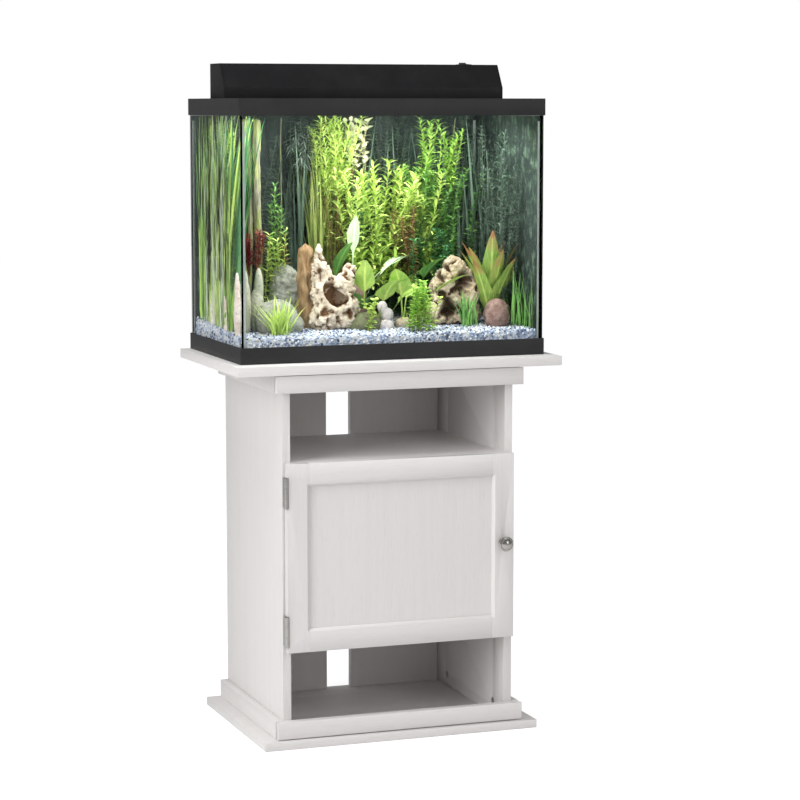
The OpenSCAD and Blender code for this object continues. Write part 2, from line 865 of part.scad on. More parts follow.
module light_lens() {
    end = light_w / 2 - cap_t;
    color([0.92, 0.93, 0.92]) block(-end, end, light_y0 + light_wall,
        light_y0 + light_d - light_wall, light_z0 + 1, light_z0 + 1 + lens_t);
}

// Circuit board with a row of light chips under it, held up to the housing by two ribs
module led_board() {
    y = light_y0 + (light_d + lip_setback) / 2;
    z = light_z0 + led_board_rise;
    end = light_w / 2 - led_board_inset;
    pitch = 2 * (end - chip_size) / chip_count;
    color([0.85, 0.87, 0.82]) {
        block(-end, end, y - led_board_d / 2, y + led_board_d / 2, z, z + board_h);
        for (i = [0 : chip_count - 1])
            translate([(i - (chip_count - 1) / 2) * pitch - chip_size / 2, y - chip_size / 2,
                z - 1])
                cube([chip_size, chip_size, 1.5]);
        for (sx = [-1, 1])
            block(sx * light_w / 4 - rib_t / 2, sx * light_w / 4 + rib_t / 2, y - rib_d / 2,
                y + rib_d / 2, z, light_z0 + light_h - light_wall);
    }
}

// Inlet for the light's supply lead
module power_socket() {
    y1 = light_y0 + light_d;
    z = light_z0 + light_h / 2;
    color([0.2, 0.2, 0.2]) difference() {
        union() {
            rod([socket_x, y1 - socket_len, z], socket_r - cam_clear, socket_len, "y");
            rod([socket_x, y1, z], socket_r + socket_flange, socket_flange_t, "y");
        }
        rod([socket_x, y1 - socket_bore_len, z], socket_bore_r,
            socket_bore_len + socket_flange_t + eps, "y");
    }
}

// The switch's body: a well with a bezel on the housing, and a bore in each side wall
module switch_body() {
    w = rocker_w / 2 + rocker_clear + switch_wall + bezel_w;
    l = rocker_len / 2 + rocker_clear + switch_wall + bezel_w;
    top = light_z0 + light_h;
    color([0.2, 0.2, 0.2]) difference() {
        union() {
            switch_well(0, switch_wall);
            block(rocker_x - w, rocker_x + w, rocker_y - l, rocker_y + l, top, top + bezel_t);
        }
        switch_well(0, 0);
        rod([rocker_x - w, rocker_y, rocker_z], rocker_pin_r + pin_clear, 2 * w, "x");
    }
}

// The rocker stands tilted to its off side, on a pin at each side. Its ends are drawn in by
// what the tilt adds, so that they clear the well at both ends of its travel.
module rocker_switch() {
    h = (rocker_len / 2 - rocker_foot * sin(rocker_tilt)) / cos(rocker_tilt);
    reach = rocker_w / 2 + rocker_clear + switch_wall - rocker_pin_short;
    color([0.12, 0.12, 0.13]) translate([rocker_x, rocker_y, rocker_z]) {
        rotate([rocker_tilt, 0, 0])
            profile_x([[-h, -rocker_foot], [h, -rocker_foot], [h, rocker_head],
                [0, rocker_waist], [-h, rocker_head]], -rocker_w / 2, rocker_w / 2);
        rod([-reach, 0, 0], rocker_pin_r, 2 * reach, "x");
    }
}

base_panel();
top_panel();
side_panel(-1);  // left_side_panel
side_panel(1);  // right_side_panel
shelf(upper_shelf_z);  // upper_shelf
shelf(lower_shelf_z);  // lower_shelf
back_board(-1);  // left_back_board
back_board(1);  // right_back_board
front_rail(panel_z1 - rail_gap - rail_h);  // upper_front_rail
side_rail(-1, panel_z1 - rail_gap - rail_h);  // upper_left_rail
side_rail(1, panel_z1 - rail_gap - rail_h);  // upper_right_rail
front_rail(panel_z0 + rail_gap);  // plinth_front_rail
side_rail(-1, panel_z0);  // plinth_left_rail
side_rail(1, panel_z0);  // plinth_right_rail
cam_locks();
cam_bolts();
hinge_frame_leaves();
hinge_pins();
frame_screws();
catch_body();
door_left_stile();
door_right_stile();
door_top_rail();
door_bottom_rail();
door_panel();
door_knob();
door_screws();
hinge_door_leaves();
catch_plate();
tank_bottom_frame();
tank_top_rim();
long_glass(-1);  // front_glass
long_glass(1);  // back_glass
end_glass(-1);  // left_glass
end_glass(1);  // right_glass
bottom_glass();
silicone_seams();
background_film();
gravel_bed();
left_rock();
right_rock();
round_stones();
driftwood();
tall_stem_plants();
bushy_plants();
sword_plant();
foreground_plants();
canopy_rear_glass();
canopy_hinge_strip();
lid_glass();
lid_hinge_strip();
lid_handle();
light_housing();
light_cap(-1);  // light_left_cap
light_cap(1);  // light_right_cap
light_lens();
led_board();
power_socket();
switch_body();
rocker_switch();
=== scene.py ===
# %% [markdown]
# # An aquarium on its stand
#
# The object is a two-foot glass tank in black moulded frames, with a strip light on a glass
# canopy, on a stand of white wood-grain boards. The first cell loads the frame, which holds every
# CAD piece at its real place, in metres, with +Z up and +X to the right. This lesson gives each
# piece its finish, and builds the pieces whose shape CAD leaves plain: eased boards, gravel,
# stones, wood and water plants. Each piece is built in place, so nothing is fitted afterwards.

# %% Load the frame
import math
import random

import bmesh
import bpy
from mathutils import Euler, Matrix, Vector, noise


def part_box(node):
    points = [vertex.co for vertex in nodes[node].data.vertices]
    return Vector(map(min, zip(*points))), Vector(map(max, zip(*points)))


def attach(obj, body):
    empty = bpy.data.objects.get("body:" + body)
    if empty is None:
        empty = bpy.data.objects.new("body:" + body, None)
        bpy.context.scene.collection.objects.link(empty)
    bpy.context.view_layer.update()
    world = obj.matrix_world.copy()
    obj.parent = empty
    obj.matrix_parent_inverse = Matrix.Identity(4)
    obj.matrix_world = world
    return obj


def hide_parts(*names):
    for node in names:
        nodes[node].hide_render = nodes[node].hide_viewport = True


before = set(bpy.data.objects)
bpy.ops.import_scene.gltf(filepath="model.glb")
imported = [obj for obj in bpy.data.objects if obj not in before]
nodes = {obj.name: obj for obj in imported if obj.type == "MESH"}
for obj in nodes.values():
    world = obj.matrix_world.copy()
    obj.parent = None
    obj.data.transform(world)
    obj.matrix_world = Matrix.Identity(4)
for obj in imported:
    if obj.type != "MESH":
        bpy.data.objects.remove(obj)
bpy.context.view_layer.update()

MM = 0.001
WHITE_BOARDS = [
    "base_panel", "top_panel", "left_side_panel", "right_side_panel", "upper_shelf",
    "lower_shelf", "left_back_board", "right_back_board", "upper_front_rail",
    "upper_left_rail", "upper_right_rail", "plinth_front_rail", "plinth_left_rail",
    "plinth_right_rail",
]

# %% [markdown]
# ## Camera, floor and light
#
# A long lens far away keeps the uprights nearly parallel, which suits furniture. The camera stands
# a little to the left of the front and looks slightly down. The floor is a plain pale sheet. Three
# large soft panels and an even world light the stand, so that white edges still read against
# white, and two small ones inside the tank stand in for the strip light's glow.

# %% Camera
camera_place = Vector((-1.6344, -4.6369, 1.2125))
camera_turn = math.radians(20.15)
camera_drop = math.radians(6.69)
camera_lens = 112.98
camera = bpy.data.objects.new("camera", bpy.data.cameras.new("camera"))
camera.data.sensor_width = 36.0
camera.data.lens = camera_lens
camera.location = camera_place
camera.rotation_euler = (math.pi / 2 - camera_drop, 0.0, -camera_turn)
bpy.context.scene.collection.objects.link(camera)
bpy.context.scene.camera = camera
print("camera at", tuple(camera_place), "lens", camera.data.lens)

# %% Floor, world and lights
def soft_light(name, place, target, width, height, watts, seen=True):
    data = bpy.data.lights.new(name, "AREA")
    data.shape = "RECTANGLE"
    data.size = width
    data.size_y = height
    data.energy = watts
    lamp = bpy.data.objects.new(name, data)
    lamp.location = place
    lamp.rotation_euler = (Vector(target) - Vector(place)).to_track_quat("-Z", "Y").to_euler()
    lamp.visible_camera = False
    lamp.visible_glossy = seen
    lamp.visible_transmission = seen
    bpy.context.scene.collection.objects.link(lamp)
    return lamp


FLOOR_SIZE = 30.0
FLOOR_DROP = 0.5 * MM
FLOOR_GLOW = 0.68
WHITE = (1.0, 1.0, 1.0, 1)
bpy.ops.mesh.primitive_plane_add(size=FLOOR_SIZE, location=(0, 0, -FLOOR_DROP))
floor = bpy.context.object
floor.name = "studio_floor"
floor_finish = bpy.data.materials.new("studio_paper")
floor_finish.use_nodes = True
paper = floor_finish.node_tree.nodes["Principled BSDF"]
paper.inputs["Base Color"].default_value = (0.80, 0.80, 0.80, 1)
paper.inputs["Roughness"].default_value = 0.9
paper.inputs["Emission Color"].default_value = WHITE
seen_from = floor_finish.node_tree.nodes.new("ShaderNodeLightPath")
lift = floor_finish.node_tree.nodes.new("ShaderNodeMath")
lift.operation = "MULTIPLY"
lift.inputs[1].default_value = FLOOR_GLOW
floor_finish.node_tree.links.new(seen_from.outputs["Is Camera Ray"], lift.inputs[0])
floor_finish.node_tree.links.new(lift.outputs[0], paper.inputs["Emission Strength"])
floor.data.materials.append(floor_finish)

world = bpy.data.worlds.new("studio")
world.use_nodes = True
sky = world.node_tree
fill_light = sky.nodes["Background"]
fill_light.inputs["Color"].default_value = WHITE
white_wall = sky.nodes.new("ShaderNodeBackground")
white_wall.inputs["Color"].default_value = WHITE
what_looks = sky.nodes.new("ShaderNodeLightPath")
either = sky.nodes.new("ShaderNodeMixShader")
sky.links.new(what_looks.outputs["Is Camera Ray"], either.inputs[0])
fill_strength, fill_in_gloss = 0.42, 0.22
dimmer = sky.nodes.new("ShaderNodeMapRange")
dimmer.inputs["To Min"].default_value = fill_strength
dimmer.inputs["To Max"].default_value = fill_in_gloss
sky.links.new(what_looks.outputs["Is Glossy Ray"], dimmer.inputs["Value"])
sky.links.new(dimmer.outputs["Result"], fill_light.inputs["Strength"])
sky.links.new(fill_light.outputs[0], either.inputs[1])
sky.links.new(white_wall.outputs[0], either.inputs[2])
sky.links.new(either.outputs[0], sky.nodes["World Output"].inputs["Surface"])
bpy.context.scene.world = world
bpy.context.scene.view_settings.view_transform = "Standard"
middle = (0.0, 0.0, 0.65)
soft_light("front_panel", (1.3, -3.2, 1.7), middle, 1.2, 2.0, 11)
soft_light("left_panel", (-3.0, -1.6, 1.8), middle, 1.6, 2.4, 66, seen=False)
soft_light("top_panel_light", (-0.7, -0.9, 3.4), middle, 1.6, 1.6, 34, seen=False)
tank_low, tank_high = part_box("tank_bottom_frame")
tank_middle_y = (tank_low.y + tank_high.y) / 2
tank_top_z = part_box("front_glass")[1].z
LIGHT_IN = 100 * MM
LIGHT_DOWN = 35 * MM
FILL_IN = 12 * MM
soft_light("tank_light", (0, tank_low.y + LIGHT_IN, tank_top_z - LIGHT_DOWN),
    (0, tank_middle_y, 0.8), 0.5, 0.12, 2.6, seen=False)
soft_light("tank_front_fill", (0, tank_low.y + FILL_IN, 0.99), (0, tank_middle_y, 0.97), 0.56,
    0.38, 0.75, seen=False)

# %% [markdown]
# ## Effects that several finishes share
#
# A node group is a small machine with named inputs, built once and placed wherever it is needed.
# Five are made here: wood grain for the laminate, a fine speckle for moulded plastic, fine
# brushing for metal, mottling for stone, and veins for leaves. Each gives only masks and heights,
# so that the material that holds the group keeps its own shader and its own colours.

# %% Small helpers for node trees
def wire(tree, source, target):
    """Links a socket to a target, or sets the target to a plain value."""
    if isinstance(source, bpy.types.NodeSocket):
        tree.links.new(source, target)
    else:
        target.default_value = source


def add(tree, kind, inputs=None, **settings):
    """A new node with its settings and its inputs, which are values or sockets."""
    node = tree.nodes.new(kind)
    for key, value in settings.items():
        setattr(node, key, value)
    for key, value in (inputs or {}).items():
        wire(tree, value, node.inputs[key])
    return node


def math_node(tree, operation, a, b=0.0, clamp=False):
    node = add(tree, "ShaderNodeMath", {0: a, 1: b}, operation=operation, use_clamp=clamp)
    return node.outputs[0]


def plus(tree, a, b, clamp=False):
    return math_node(tree, "ADD", a, b, clamp)


def times(tree, a, b):
    return math_node(tree, "MULTIPLY", a, b)


def new_group(name, kind, ins, outs):
    """A node group with named sockets. ins and outs are (name, type, value or None)."""
    tree = bpy.data.node_groups.new(name, kind)
    for direction, sockets in (("INPUT", ins), ("OUTPUT", outs)):
        for label, socket, value in sockets:
            made = tree.interface.new_socket(label, in_out=direction,
                socket_type="NodeSocket" + socket)
            if value is not None:
                made.default_value = value
    entry = tree.nodes.new("NodeGroupInput")
    end = tree.nodes.new("NodeGroupOutput")
    return tree, entry.outputs, end.inputs


def ramp(tree, value, stops):
    """A colour ramp; stops are (place, colour)."""
    node = add(tree, "ShaderNodeValToRGB", {"Fac": value})
    while len(node.color_ramp.elements) < len(stops):
        node.color_ramp.elements.new(0.5)
    for element, (place, colour) in zip(node.color_ramp.elements, stops):
        element.position = place
        element.color = (*colour, 1)
    return node.outputs["Color"]


def mapped(tree, value, start=(0.0, 1.0), end=(0.0, 1.0)):
    """Carries the range start over to the range end, and stops at both ends."""
    node = add(tree, "ShaderNodeMapRange", {"Value": value, "From Min": start[0],
        "From Max": start[1], "To Min": end[0], "To Max": end[1]})
    return node.outputs["Result"]


def noise_mask(tree, vector, scale, detail=3.0, rough=0.55, low=0.35, high=0.65):
    """Noise stretched so that low to high fills 0 to 1."""
    cloud = add(tree, "ShaderNodeTexNoise", {"Vector": vector, "Scale": scale,
        "Detail": detail, "Roughness": rough})
    return mapped(tree, cloud.outputs["Fac"], (low, high))


def blend_colour(tree, mask, first, second, mode="MIX"):
    """Mixes two colours, each a socket or plain red, green and blue."""
    first, second = [(*c, 1) if isinstance(c, (tuple, list)) else c for c in (first, second)]
    node = add(tree, "ShaderNodeMix", {0: mask, 6: first, 7: second}, data_type="RGBA",
        blend_type=mode)
    return node.outputs[2]

# %% Shader groups
def make_wood_grain():
    """Long pores and slow bands. Vector runs fastest across the grain."""
    tree, ins, outs = new_group("wood_grain", "ShaderNodeTree",
        [("Vector", "Vector", None), ("Pore Scale", "Float", 900.0)],
        [("Pores", "Float", None), ("Bands", "Float", None), ("Height", "Float", None)])
    warp = add(tree, "ShaderNodeTexNoise", {"Vector": ins["Vector"], "Scale": 14.0})
    bent = add(tree, "ShaderNodeVectorMath", {0: warp.outputs["Color"], 1: (0.006,) * 3},
        operation="MULTIPLY")
    place = add(tree, "ShaderNodeVectorMath", {0: ins["Vector"], 1: bent.outputs[0]})
    pores = noise_mask(tree, place.outputs[0], ins["Pore Scale"], 2.0, 0.6, 0.56, 0.74)
    bands = noise_mask(tree, place.outputs[0], 70.0, 3.0, 0.5, 0.3, 0.7)
    wire(tree, pores, outs["Pores"])
    wire(tree, bands, outs["Bands"])
    deep = times(tree, pores, -1.0)
    wire(tree, plus(tree, deep, times(tree, bands, 0.3)), outs["Height"])
    return tree


def make_moulded_speckle():
    """The fine pebbling of a moulded or sprayed surface, with faint dust."""
    tree, ins, outs = new_group("moulded_speckle", "ShaderNodeTree",
        [("Vector", "Vector", None), ("Scale", "Float", 1500.0)],
        [("Height", "Float", None), ("Dust", "Float", None)])
    wire(tree, noise_mask(tree, ins["Vector"], ins["Scale"], 1.0, 0.5, 0.3, 0.7), outs["Height"])
    wire(tree, noise_mask(tree, ins["Vector"], 11.0, 5.0, 0.65, 0.42, 0.75), outs["Dust"])
    return tree


def make_brushed_metal():
    """Fine lines along X of the given vector, and slow smears."""
    tree, ins, outs = new_group("brushed_metal", "ShaderNodeTree",
        [("Vector", "Vector", None), ("Scale", "Float", 400.0)],
        [("Lines", "Float", None), ("Smears", "Float", None)])
    thin = add(tree, "ShaderNodeVectorMath", {0: ins["Vector"], 1: (0.04, 1.0, 1.0)},
        operation="MULTIPLY")
    wire(tree, noise_mask(tree, thin.outputs[0], ins["Scale"], 2.0, 0.6, 0.3, 0.7),
        outs["Lines"])
    wire(tree, noise_mask(tree, ins["Vector"], 60.0, 3.0, 0.6, 0.4, 0.7), outs["Smears"])
    return tree


def make_stone_mottle():
    """Three sizes of blotch: slow stains, grain, and small pits that the stone finish darkens with
    painted shade.
    """
    tree, ins, outs = new_group("stone_mottle", "ShaderNodeTree",
        [("Vector", "Vector", None), ("Scale", "Float", 60.0)],
        [("Stain", "Float", None), ("Grain", "Float", None), ("Pits", "Float", None),
         ("Height", "Float", None)])
    stain = noise_mask(tree, ins["Vector"], ins["Scale"], 5.0, 0.6, 0.38, 0.62)
    fine = times(tree, ins["Scale"], 9.0)
    grain = noise_mask(tree, ins["Vector"], fine, 3.0, 0.6, 0.3, 0.7)
    cell = add(tree, "ShaderNodeTexVoronoi", {"Vector": ins["Vector"],
        "Scale": times(tree, ins["Scale"], 3.2)})
    pits = mapped(tree, cell.outputs["Distance"], (0.34, 0.12))
    wire(tree, stain, outs["Stain"])
    wire(tree, grain, outs["Grain"])
    wire(tree, pits, outs["Pits"])
    wire(tree, math_node(tree, "SUBTRACT", grain, pits), outs["Height"])
    return tree


def make_leaf_veins():
    """A midrib and slanting side veins, read from a leaf's own UV map."""
    tree, ins, outs = new_group("leaf_veins", "ShaderNodeTree",
        [("UV", "Vector", None), ("Side Veins", "Float", 9.0)],
        [("Midrib", "Float", None), ("Veins", "Float", None), ("Height", "Float", None)])
    uv = add(tree, "ShaderNodeSeparateXYZ", {0: ins["UV"]})
    side = math_node(tree, "ABSOLUTE", math_node(tree, "SUBTRACT", uv.outputs["X"], 0.5))
    midrib = mapped(tree, side, (0.09, 0.02))
    slant = math_node(tree, "SUBTRACT", uv.outputs["Y"], times(tree, side, 0.5))
    wave = math_node(tree, "FRACT", times(tree, slant, ins["Side Veins"]))
    vein = mapped(tree, wave, (0.18, 0.0))
    wire(tree, midrib, outs["Midrib"])
    wire(tree, vein, outs["Veins"])
    wire(tree, plus(tree, midrib, times(tree, vein, 0.4)), outs["Height"])
    return tree


wood_grain = make_wood_grain()
moulded_speckle = make_moulded_speckle()
brushed_metal = make_brushed_metal()
stone_mottle = make_stone_mottle()
leaf_veins = make_leaf_veins()
print("shader groups:", [g.name for g in bpy.data.node_groups])

# %% [markdown]
# ## Finishes
#
# Each finish is one material: a Principled shader whose constants sit on its own sockets, and
# whose colour, roughness and bump come from the groups. Patterns read Object coordinates, which
# work here because no piece's object is ever moved.

# %% Material helpers
def finish(name, roughness=0.5, metallic=0.0, specular=0.5):
    """An empty material: its tree, its shader and the Object coordinates."""
    material = bpy.data.materials.new(name)
    material.use_nodes = True
    tree = material.node_tree
    shader = tree.nodes["Principled BSDF"]
    shader.inputs["Roughness"].default_value = roughness
    shader.inputs["Metallic"].default_value = metallic
    shader.inputs["Specular IOR Level"].default_value = specular
    place = tree.nodes.new("ShaderNodeTexCoord").outputs["Object"]
    return material, tree, shader, place


def use_group(tree, group, **inputs):
    node = tree.nodes.new("ShaderNodeGroup")
    node.node_tree = group
    for key, value in inputs.items():
        wire(tree, value, node.inputs[key.replace("_", " ")])
    return node.outputs


def bump(tree, shader, height, strength, distance):
    node = add(tree, "ShaderNodeBump", {"Height": height, "Strength": strength,
        "Distance": distance})
    wire(tree, node.outputs["Normal"], shader.inputs["Normal"])


def stretched(tree, place, scale):
    node = add(tree, "ShaderNodeMapping", {"Vector": place, "Scale": scale})
    return node.outputs["Vector"]

# %% Laminate, one finish for each way the grain can run
GRAIN_SLOW = 0.035
white_board_colour = (0.80, 0.775, 0.765)
pore_colour = (0.66, 0.63, 0.615)
BAND_SHADE = 0.965


def make_board_finish(axis):
    scale = [1.0, 1.0, 1.0]
    scale["xyz".index(axis)] = GRAIN_SLOW
    material, tree, shader, place = finish("white_laminate_" + axis, 0.42, specular=0.4)
    grain = use_group(tree, wood_grain, Vector=stretched(tree, place, scale))
    base = blend_colour(tree, grain["Bands"], white_board_colour,
        [c * BAND_SHADE for c in white_board_colour])
    worn = blend_colour(tree, times(tree, grain["Pores"], 0.5), base, pore_colour)
    wire(tree, worn, shader.inputs["Base Color"])
    wire(tree, mapped(tree, grain["Pores"], end=(0.38, 0.55)), shader.inputs["Roughness"])
    bump(tree, shader, grain["Height"], 0.22, 0.0004)
    return material


board_finish = {axis: make_board_finish(axis) for axis in "xyz"}

# %% Metal finishes
def make_metal(name, colour, roughness, line_scale):
    material, tree, shader, place = finish(name, roughness, metallic=1.0)
    marks = use_group(tree, brushed_metal, Vector=place, Scale=line_scale)
    smeared = [c * 0.86 for c in colour]
    wire(tree, blend_colour(tree, marks["Smears"], colour, smeared), shader.inputs["Base Color"])
    rough = mapped(tree, marks["Lines"], end=(roughness * 0.8, roughness * 1.3))
    wire(tree, rough, shader.inputs["Roughness"])
    bump(tree, shader, marks["Lines"], 0.08, 0.0001)
    return material


nickel = make_metal("satin_nickel_finish", (0.60, 0.585, 0.555), 0.17, 500.0)
steel = make_metal("zinc_steel_finish", (0.62, 0.62, 0.60), 0.34, 700.0)

# %% Plastics
def make_plastic(name, colour, roughness, grain_scale, grain_height, dust=0.35, specular=0.3):
    material, tree, shader, place = finish(name, roughness, specular=specular)
    marks = use_group(tree, moulded_speckle, Vector=place, Scale=grain_scale)
    dusty = [c + (0.25 - c) * 0.10 for c in colour]
    mask = times(tree, marks["Dust"], dust)
    wire(tree, blend_colour(tree, mask, colour, dusty), shader.inputs["Base Color"])
    rough = mapped(tree, marks["Dust"], end=(roughness, roughness * 1.25))
    wire(tree, rough, shader.inputs["Roughness"])
    bump(tree, shader, marks["Height"], 0.25, grain_height)
    return material


rim_black = make_plastic("moulded_black_finish", (0.022, 0.022, 0.023), 0.42, 1700.0, 0.00008)
light_black = make_plastic("textured_black_finish", (0.011, 0.011, 0.012), 0.50, 1100.0, 0.00022)
switch_black = make_plastic("switch_black_finish", (0.028, 0.028, 0.030), 0.32, 2600.0, 0.00003)
white_plastic = make_plastic("white_plastic_finish", (0.78, 0.78, 0.76), 0.4, 2000.0, 0.00005,
    dust=1.0)
board_green = make_plastic("led_board_finish", (0.62, 0.68, 0.58), 0.5, 800.0, 0.00005, dust=1.0)


def make_diffuser():
    material, tree, shader, place = finish("light_diffuser_finish", 0.45)
    ribs = add(tree, "ShaderNodeTexWave", {"Vector": place, "Scale": 120.0},
        bands_direction="Y")
    shader.inputs["Base Color"].default_value = (0.92, 0.93, 0.92, 1)
    shader.inputs["Emission Strength"].default_value = 0.6
    shader.inputs["Emission Color"].default_value = (0.95, 0.98, 1.0, 1)
    bump(tree, shader, ribs.outputs["Fac"], 0.3, 0.0004)
    return material


diffuser = make_diffuser()

# %% [markdown]
# Glass needs care, because a renderer with few light paths leaves a closed glass box dark. The
# usual answer is to let lamps shine straight through: a Light Path node swaps the glass for plain
# transparency wherever a ray only asks whether a lamp is in sight. The tank's panes also get a
# low IOR: with water behind them they reflect little, and the white studio would hide the plants.

# %% Glass and silicone
SMEAR_ROUGHNESS = 0.02


def make_glass(name, tint, ior):
    material, tree, shader, place = finish(name, 0.0)
    shader.inputs["Base Color"].default_value = (*tint, 1)
    shader.inputs["Transmission Weight"].default_value = 1.0
    shader.inputs["IOR"].default_value = ior
    smears = noise_mask(tree, place, 16.0, 4.0, 0.6, 0.5, 0.8)
    wire(tree, mapped(tree, smears, end=(0.0, SMEAR_ROUGHNESS)), shader.inputs["Roughness"])
    clear = add(tree, "ShaderNodeBsdfTransparent", {"Color": (*tint, 1)})
    path = tree.nodes.new("ShaderNodeLightPath")
    lamp_or_fill = math_node(tree, "MAXIMUM", path.outputs["Is Shadow Ray"],
        path.outputs["Is Diffuse Ray"])
    mixed = add(tree, "ShaderNodeMixShader", {0: lamp_or_fill, 1: shader.outputs[0],
        2: clear.outputs[0]})
    wire(tree, mixed.outputs[0], tree.nodes["Material Output"].inputs["Surface"])
    return material


tank_glass = make_glass("tank_glass_finish", (0.985, 0.995, 0.99), ior=1.08)
canopy_glass = make_glass("canopy_glass_finish", (0.95, 0.99, 0.975), ior=1.45)


def make_silicone():
    """Clear sealant: milky, and rather more than half of the light goes through."""
    material, tree, shader, place = finish("silicone_finish", 0.3, specular=0.3)
    cloud = noise_mask(tree, place, 90.0)
    wire(tree, blend_colour(tree, cloud, (0.60, 0.68, 0.65), (0.74, 0.80, 0.78)),
        shader.inputs["Base Color"])
    shader.inputs["Transmission Weight"].default_value = 0.6
    bump(tree, shader, cloud, 0.2, 0.0005)
    return material


silicone = make_silicone()
print("finishes so far:", len(bpy.data.materials))

# %% [markdown]
# ## Boards with eased edges
#
# A real board has its edges eased by a millimetre or so, and that thin rounded strip is what
# catches the light. Each board is a copy of its CAD node. The copy's loose triangles are welded,
# flat neighbours are dissolved into one face, and a live Bevel modifier rounds the edges.

# %% Copying and easing a CAD node
def new_piece(name, mesh, body="stand", replaces=(), smooth=True):
    """Puts a finished mesh in the scene as a piece that rides on a body."""
    piece = bpy.data.objects.new(name, mesh)
    bpy.context.scene.collection.objects.link(piece)
    if smooth:
        mesh.shade_smooth()
    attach(piece, body)
    if replaces:
        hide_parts(*replaces)
    return piece


def mesh_from(shape, name):
    """Turns a bmesh into a mesh and frees it."""
    mesh = bpy.data.meshes.new(name)
    shape.to_mesh(mesh)
    shape.free()
    return mesh


def welded_copy(node, name):
    """A copy of a node's mesh with its doubles merged and its flat faces whole."""
    mesh = nodes[node].data.copy()
    mesh.name = name
    mesh.materials.clear()
    shape = bmesh.new()
    shape.from_mesh(mesh)
    bmesh.ops.remove_doubles(shape, verts=shape.verts, dist=0.00001)
    bmesh.ops.dissolve_limit(shape, angle_limit=math.radians(0.5), verts=shape.verts,
        edges=shape.edges)
    bmesh.ops.recalc_face_normals(shape, faces=shape.faces)
    for layer in list(shape.loops.layers.uv.values()):
        shape.loops.layers.uv.remove(layer)
    shape.to_mesh(mesh)
    shape.free()
    return mesh


def ease(piece, width, segments=2, angle=30):
    bevel = piece.modifiers.new("eased_edges", "BEVEL")
    bevel.width = width
    bevel.segments = segments
    bevel.limit_method = "ANGLE"
    bevel.angle_limit = math.radians(angle)
    bevel.harden_normals = True
    return piece


def eased_node(node, finish_used, width, body="stand", name=None, segments=2):
    name = name or node + "_eased"
    piece = new_piece(name, welded_copy(node, name), body, [node])
    piece.data.materials.append(finish_used)
    return ease(piece, width, segments)

# %% The stand's boards
BOARD_EDGE = 1.1 * MM
UPRIGHT = ("side_panel", "back_board")
SIDEWAYS = ("left_rail", "right_rail")
for node in WHITE_BOARDS:
    if any(word in node for word in UPRIGHT):
        grain_axis = "z"
    elif any(word in node for word in SIDEWAYS):
        grain_axis = "y"
    else:
        grain_axis = "x"
    eased_node(node, board_finish[grain_axis], BOARD_EDGE)
print("boards eased:", len(WHITE_BOARDS))

# %% [markdown]
# ## The door
#
# The door is a frame of two stiles and two rails round a thin panel. The grain runs up the stiles
# and the panel and along the rails, as it does when each is sawn from its own board.

# %% Door frame and panel
DOOR_EDGE = 0.9 * MM
RAIL_EDGE = 0.25 * MM
for node in ("door_left_stile", "door_right_stile"):
    eased_node(node, board_finish["z"], DOOR_EDGE, "door")
for node in ("door_top_rail", "door_bottom_rail"):
    eased_node(node, board_finish["x"], RAIL_EDGE, "door", segments=1)
nodes["door_panel"].data.materials.clear()
nodes["door_panel"].data.materials.append(board_finish["z"])
print("door pieces so far:", [node for node in nodes if node.startswith("door_")])

# %% [markdown]
# ## Turned pieces
#
# The knob and the hinge pins are round, so each is an outline turned about an axis. Spin copies
# the outline round the axis and leaves a seam, which is welded before the normals are made to
# point outwards. The hinges' leaves are folded sheet: their barrels are shaded smooth, and every
# edge sharper than the crease angle stays crisp.

# %% Turning an outline
def turned_mesh(name, outline, steps):
    """Spins (radius, height) points about Z and closes the poles."""
    shape = bmesh.new()
    points = [shape.verts.new((r, 0.0, h)) for r, h in outline]
    for a, b in zip(points, points[1:]):
        shape.edges.new((a, b))
    bmesh.ops.spin(shape, geom=shape.verts[:] + shape.edges[:], cent=(0, 0, 0),
        axis=(0, 0, 1), angle=2 * math.pi, steps=steps, use_duplicate=False)
    bmesh.ops.remove_doubles(shape, verts=shape.verts, dist=0.000002)
    bmesh.ops.recalc_face_normals(shape, faces=shape.faces)
    return mesh_from(shape, name)


def arc(cx, cy, radius, start, end, steps):
    return [(cx + radius * math.cos(math.radians(start + (end - start) * i / steps)),
             cy + radius * math.sin(math.radians(start + (end - start) * i / steps)))
            for i in range(steps + 1)]

# %% Door knob
knob_low, knob_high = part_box("door_knob")
knob_radius = (knob_high.x - knob_low.x) / 2
knob_length = knob_high.y - knob_low.y
foot_round = 1.1 * MM
neck_round = 3.4 * MM
neck_height = 8.3 * MM
rim_round = 2.4 * MM
rim_height = knob_length - 9 * MM
dome_height = rim_height + rim_round * 0.72
dome_radius = knob_radius - 3.4 * MM
knob_outline = (
    [(0.0, 0.0), (0.64 * knob_radius, 0.0), (0.66 * knob_radius, 0.7 * MM)]
    + arc(0.58 * knob_radius, 1.6 * MM, foot_round, 0, 80, 4)
    + arc(0.62 * knob_radius, neck_height, neck_round, 235, 135, 8)
    + [(knob_radius - rim_round - 1.2 * MM, rim_height - rim_round * 0.9)]
    + arc(knob_radius - rim_round, rim_height, rim_round, -70, 105, 12)
    + [(dome_radius + 0.2 * MM, dome_height)]
    + [(dome_radius * math.cos(math.radians(a)),
        dome_height + (knob_length - dome_height) * math.sin(math.radians(a)))
       for a in range(0, 90, 9)]
    + [(0.0, knob_length)]
)
knob_mesh = turned_mesh("door_knob_turned", knob_outline, 48)
knob_mesh.transform(Euler((math.pi / 2, 0, 0)).to_matrix().to_4x4())
for vertex in knob_mesh.vertices:
    vertex.co += Vector(((knob_low.x + knob_high.x) / 2, knob_high.y,
        (knob_low.z + knob_high.z) / 2))
new_piece("door_knob_turned", knob_mesh, "door", ["door_knob"])
knob_mesh.materials.append(nickel)
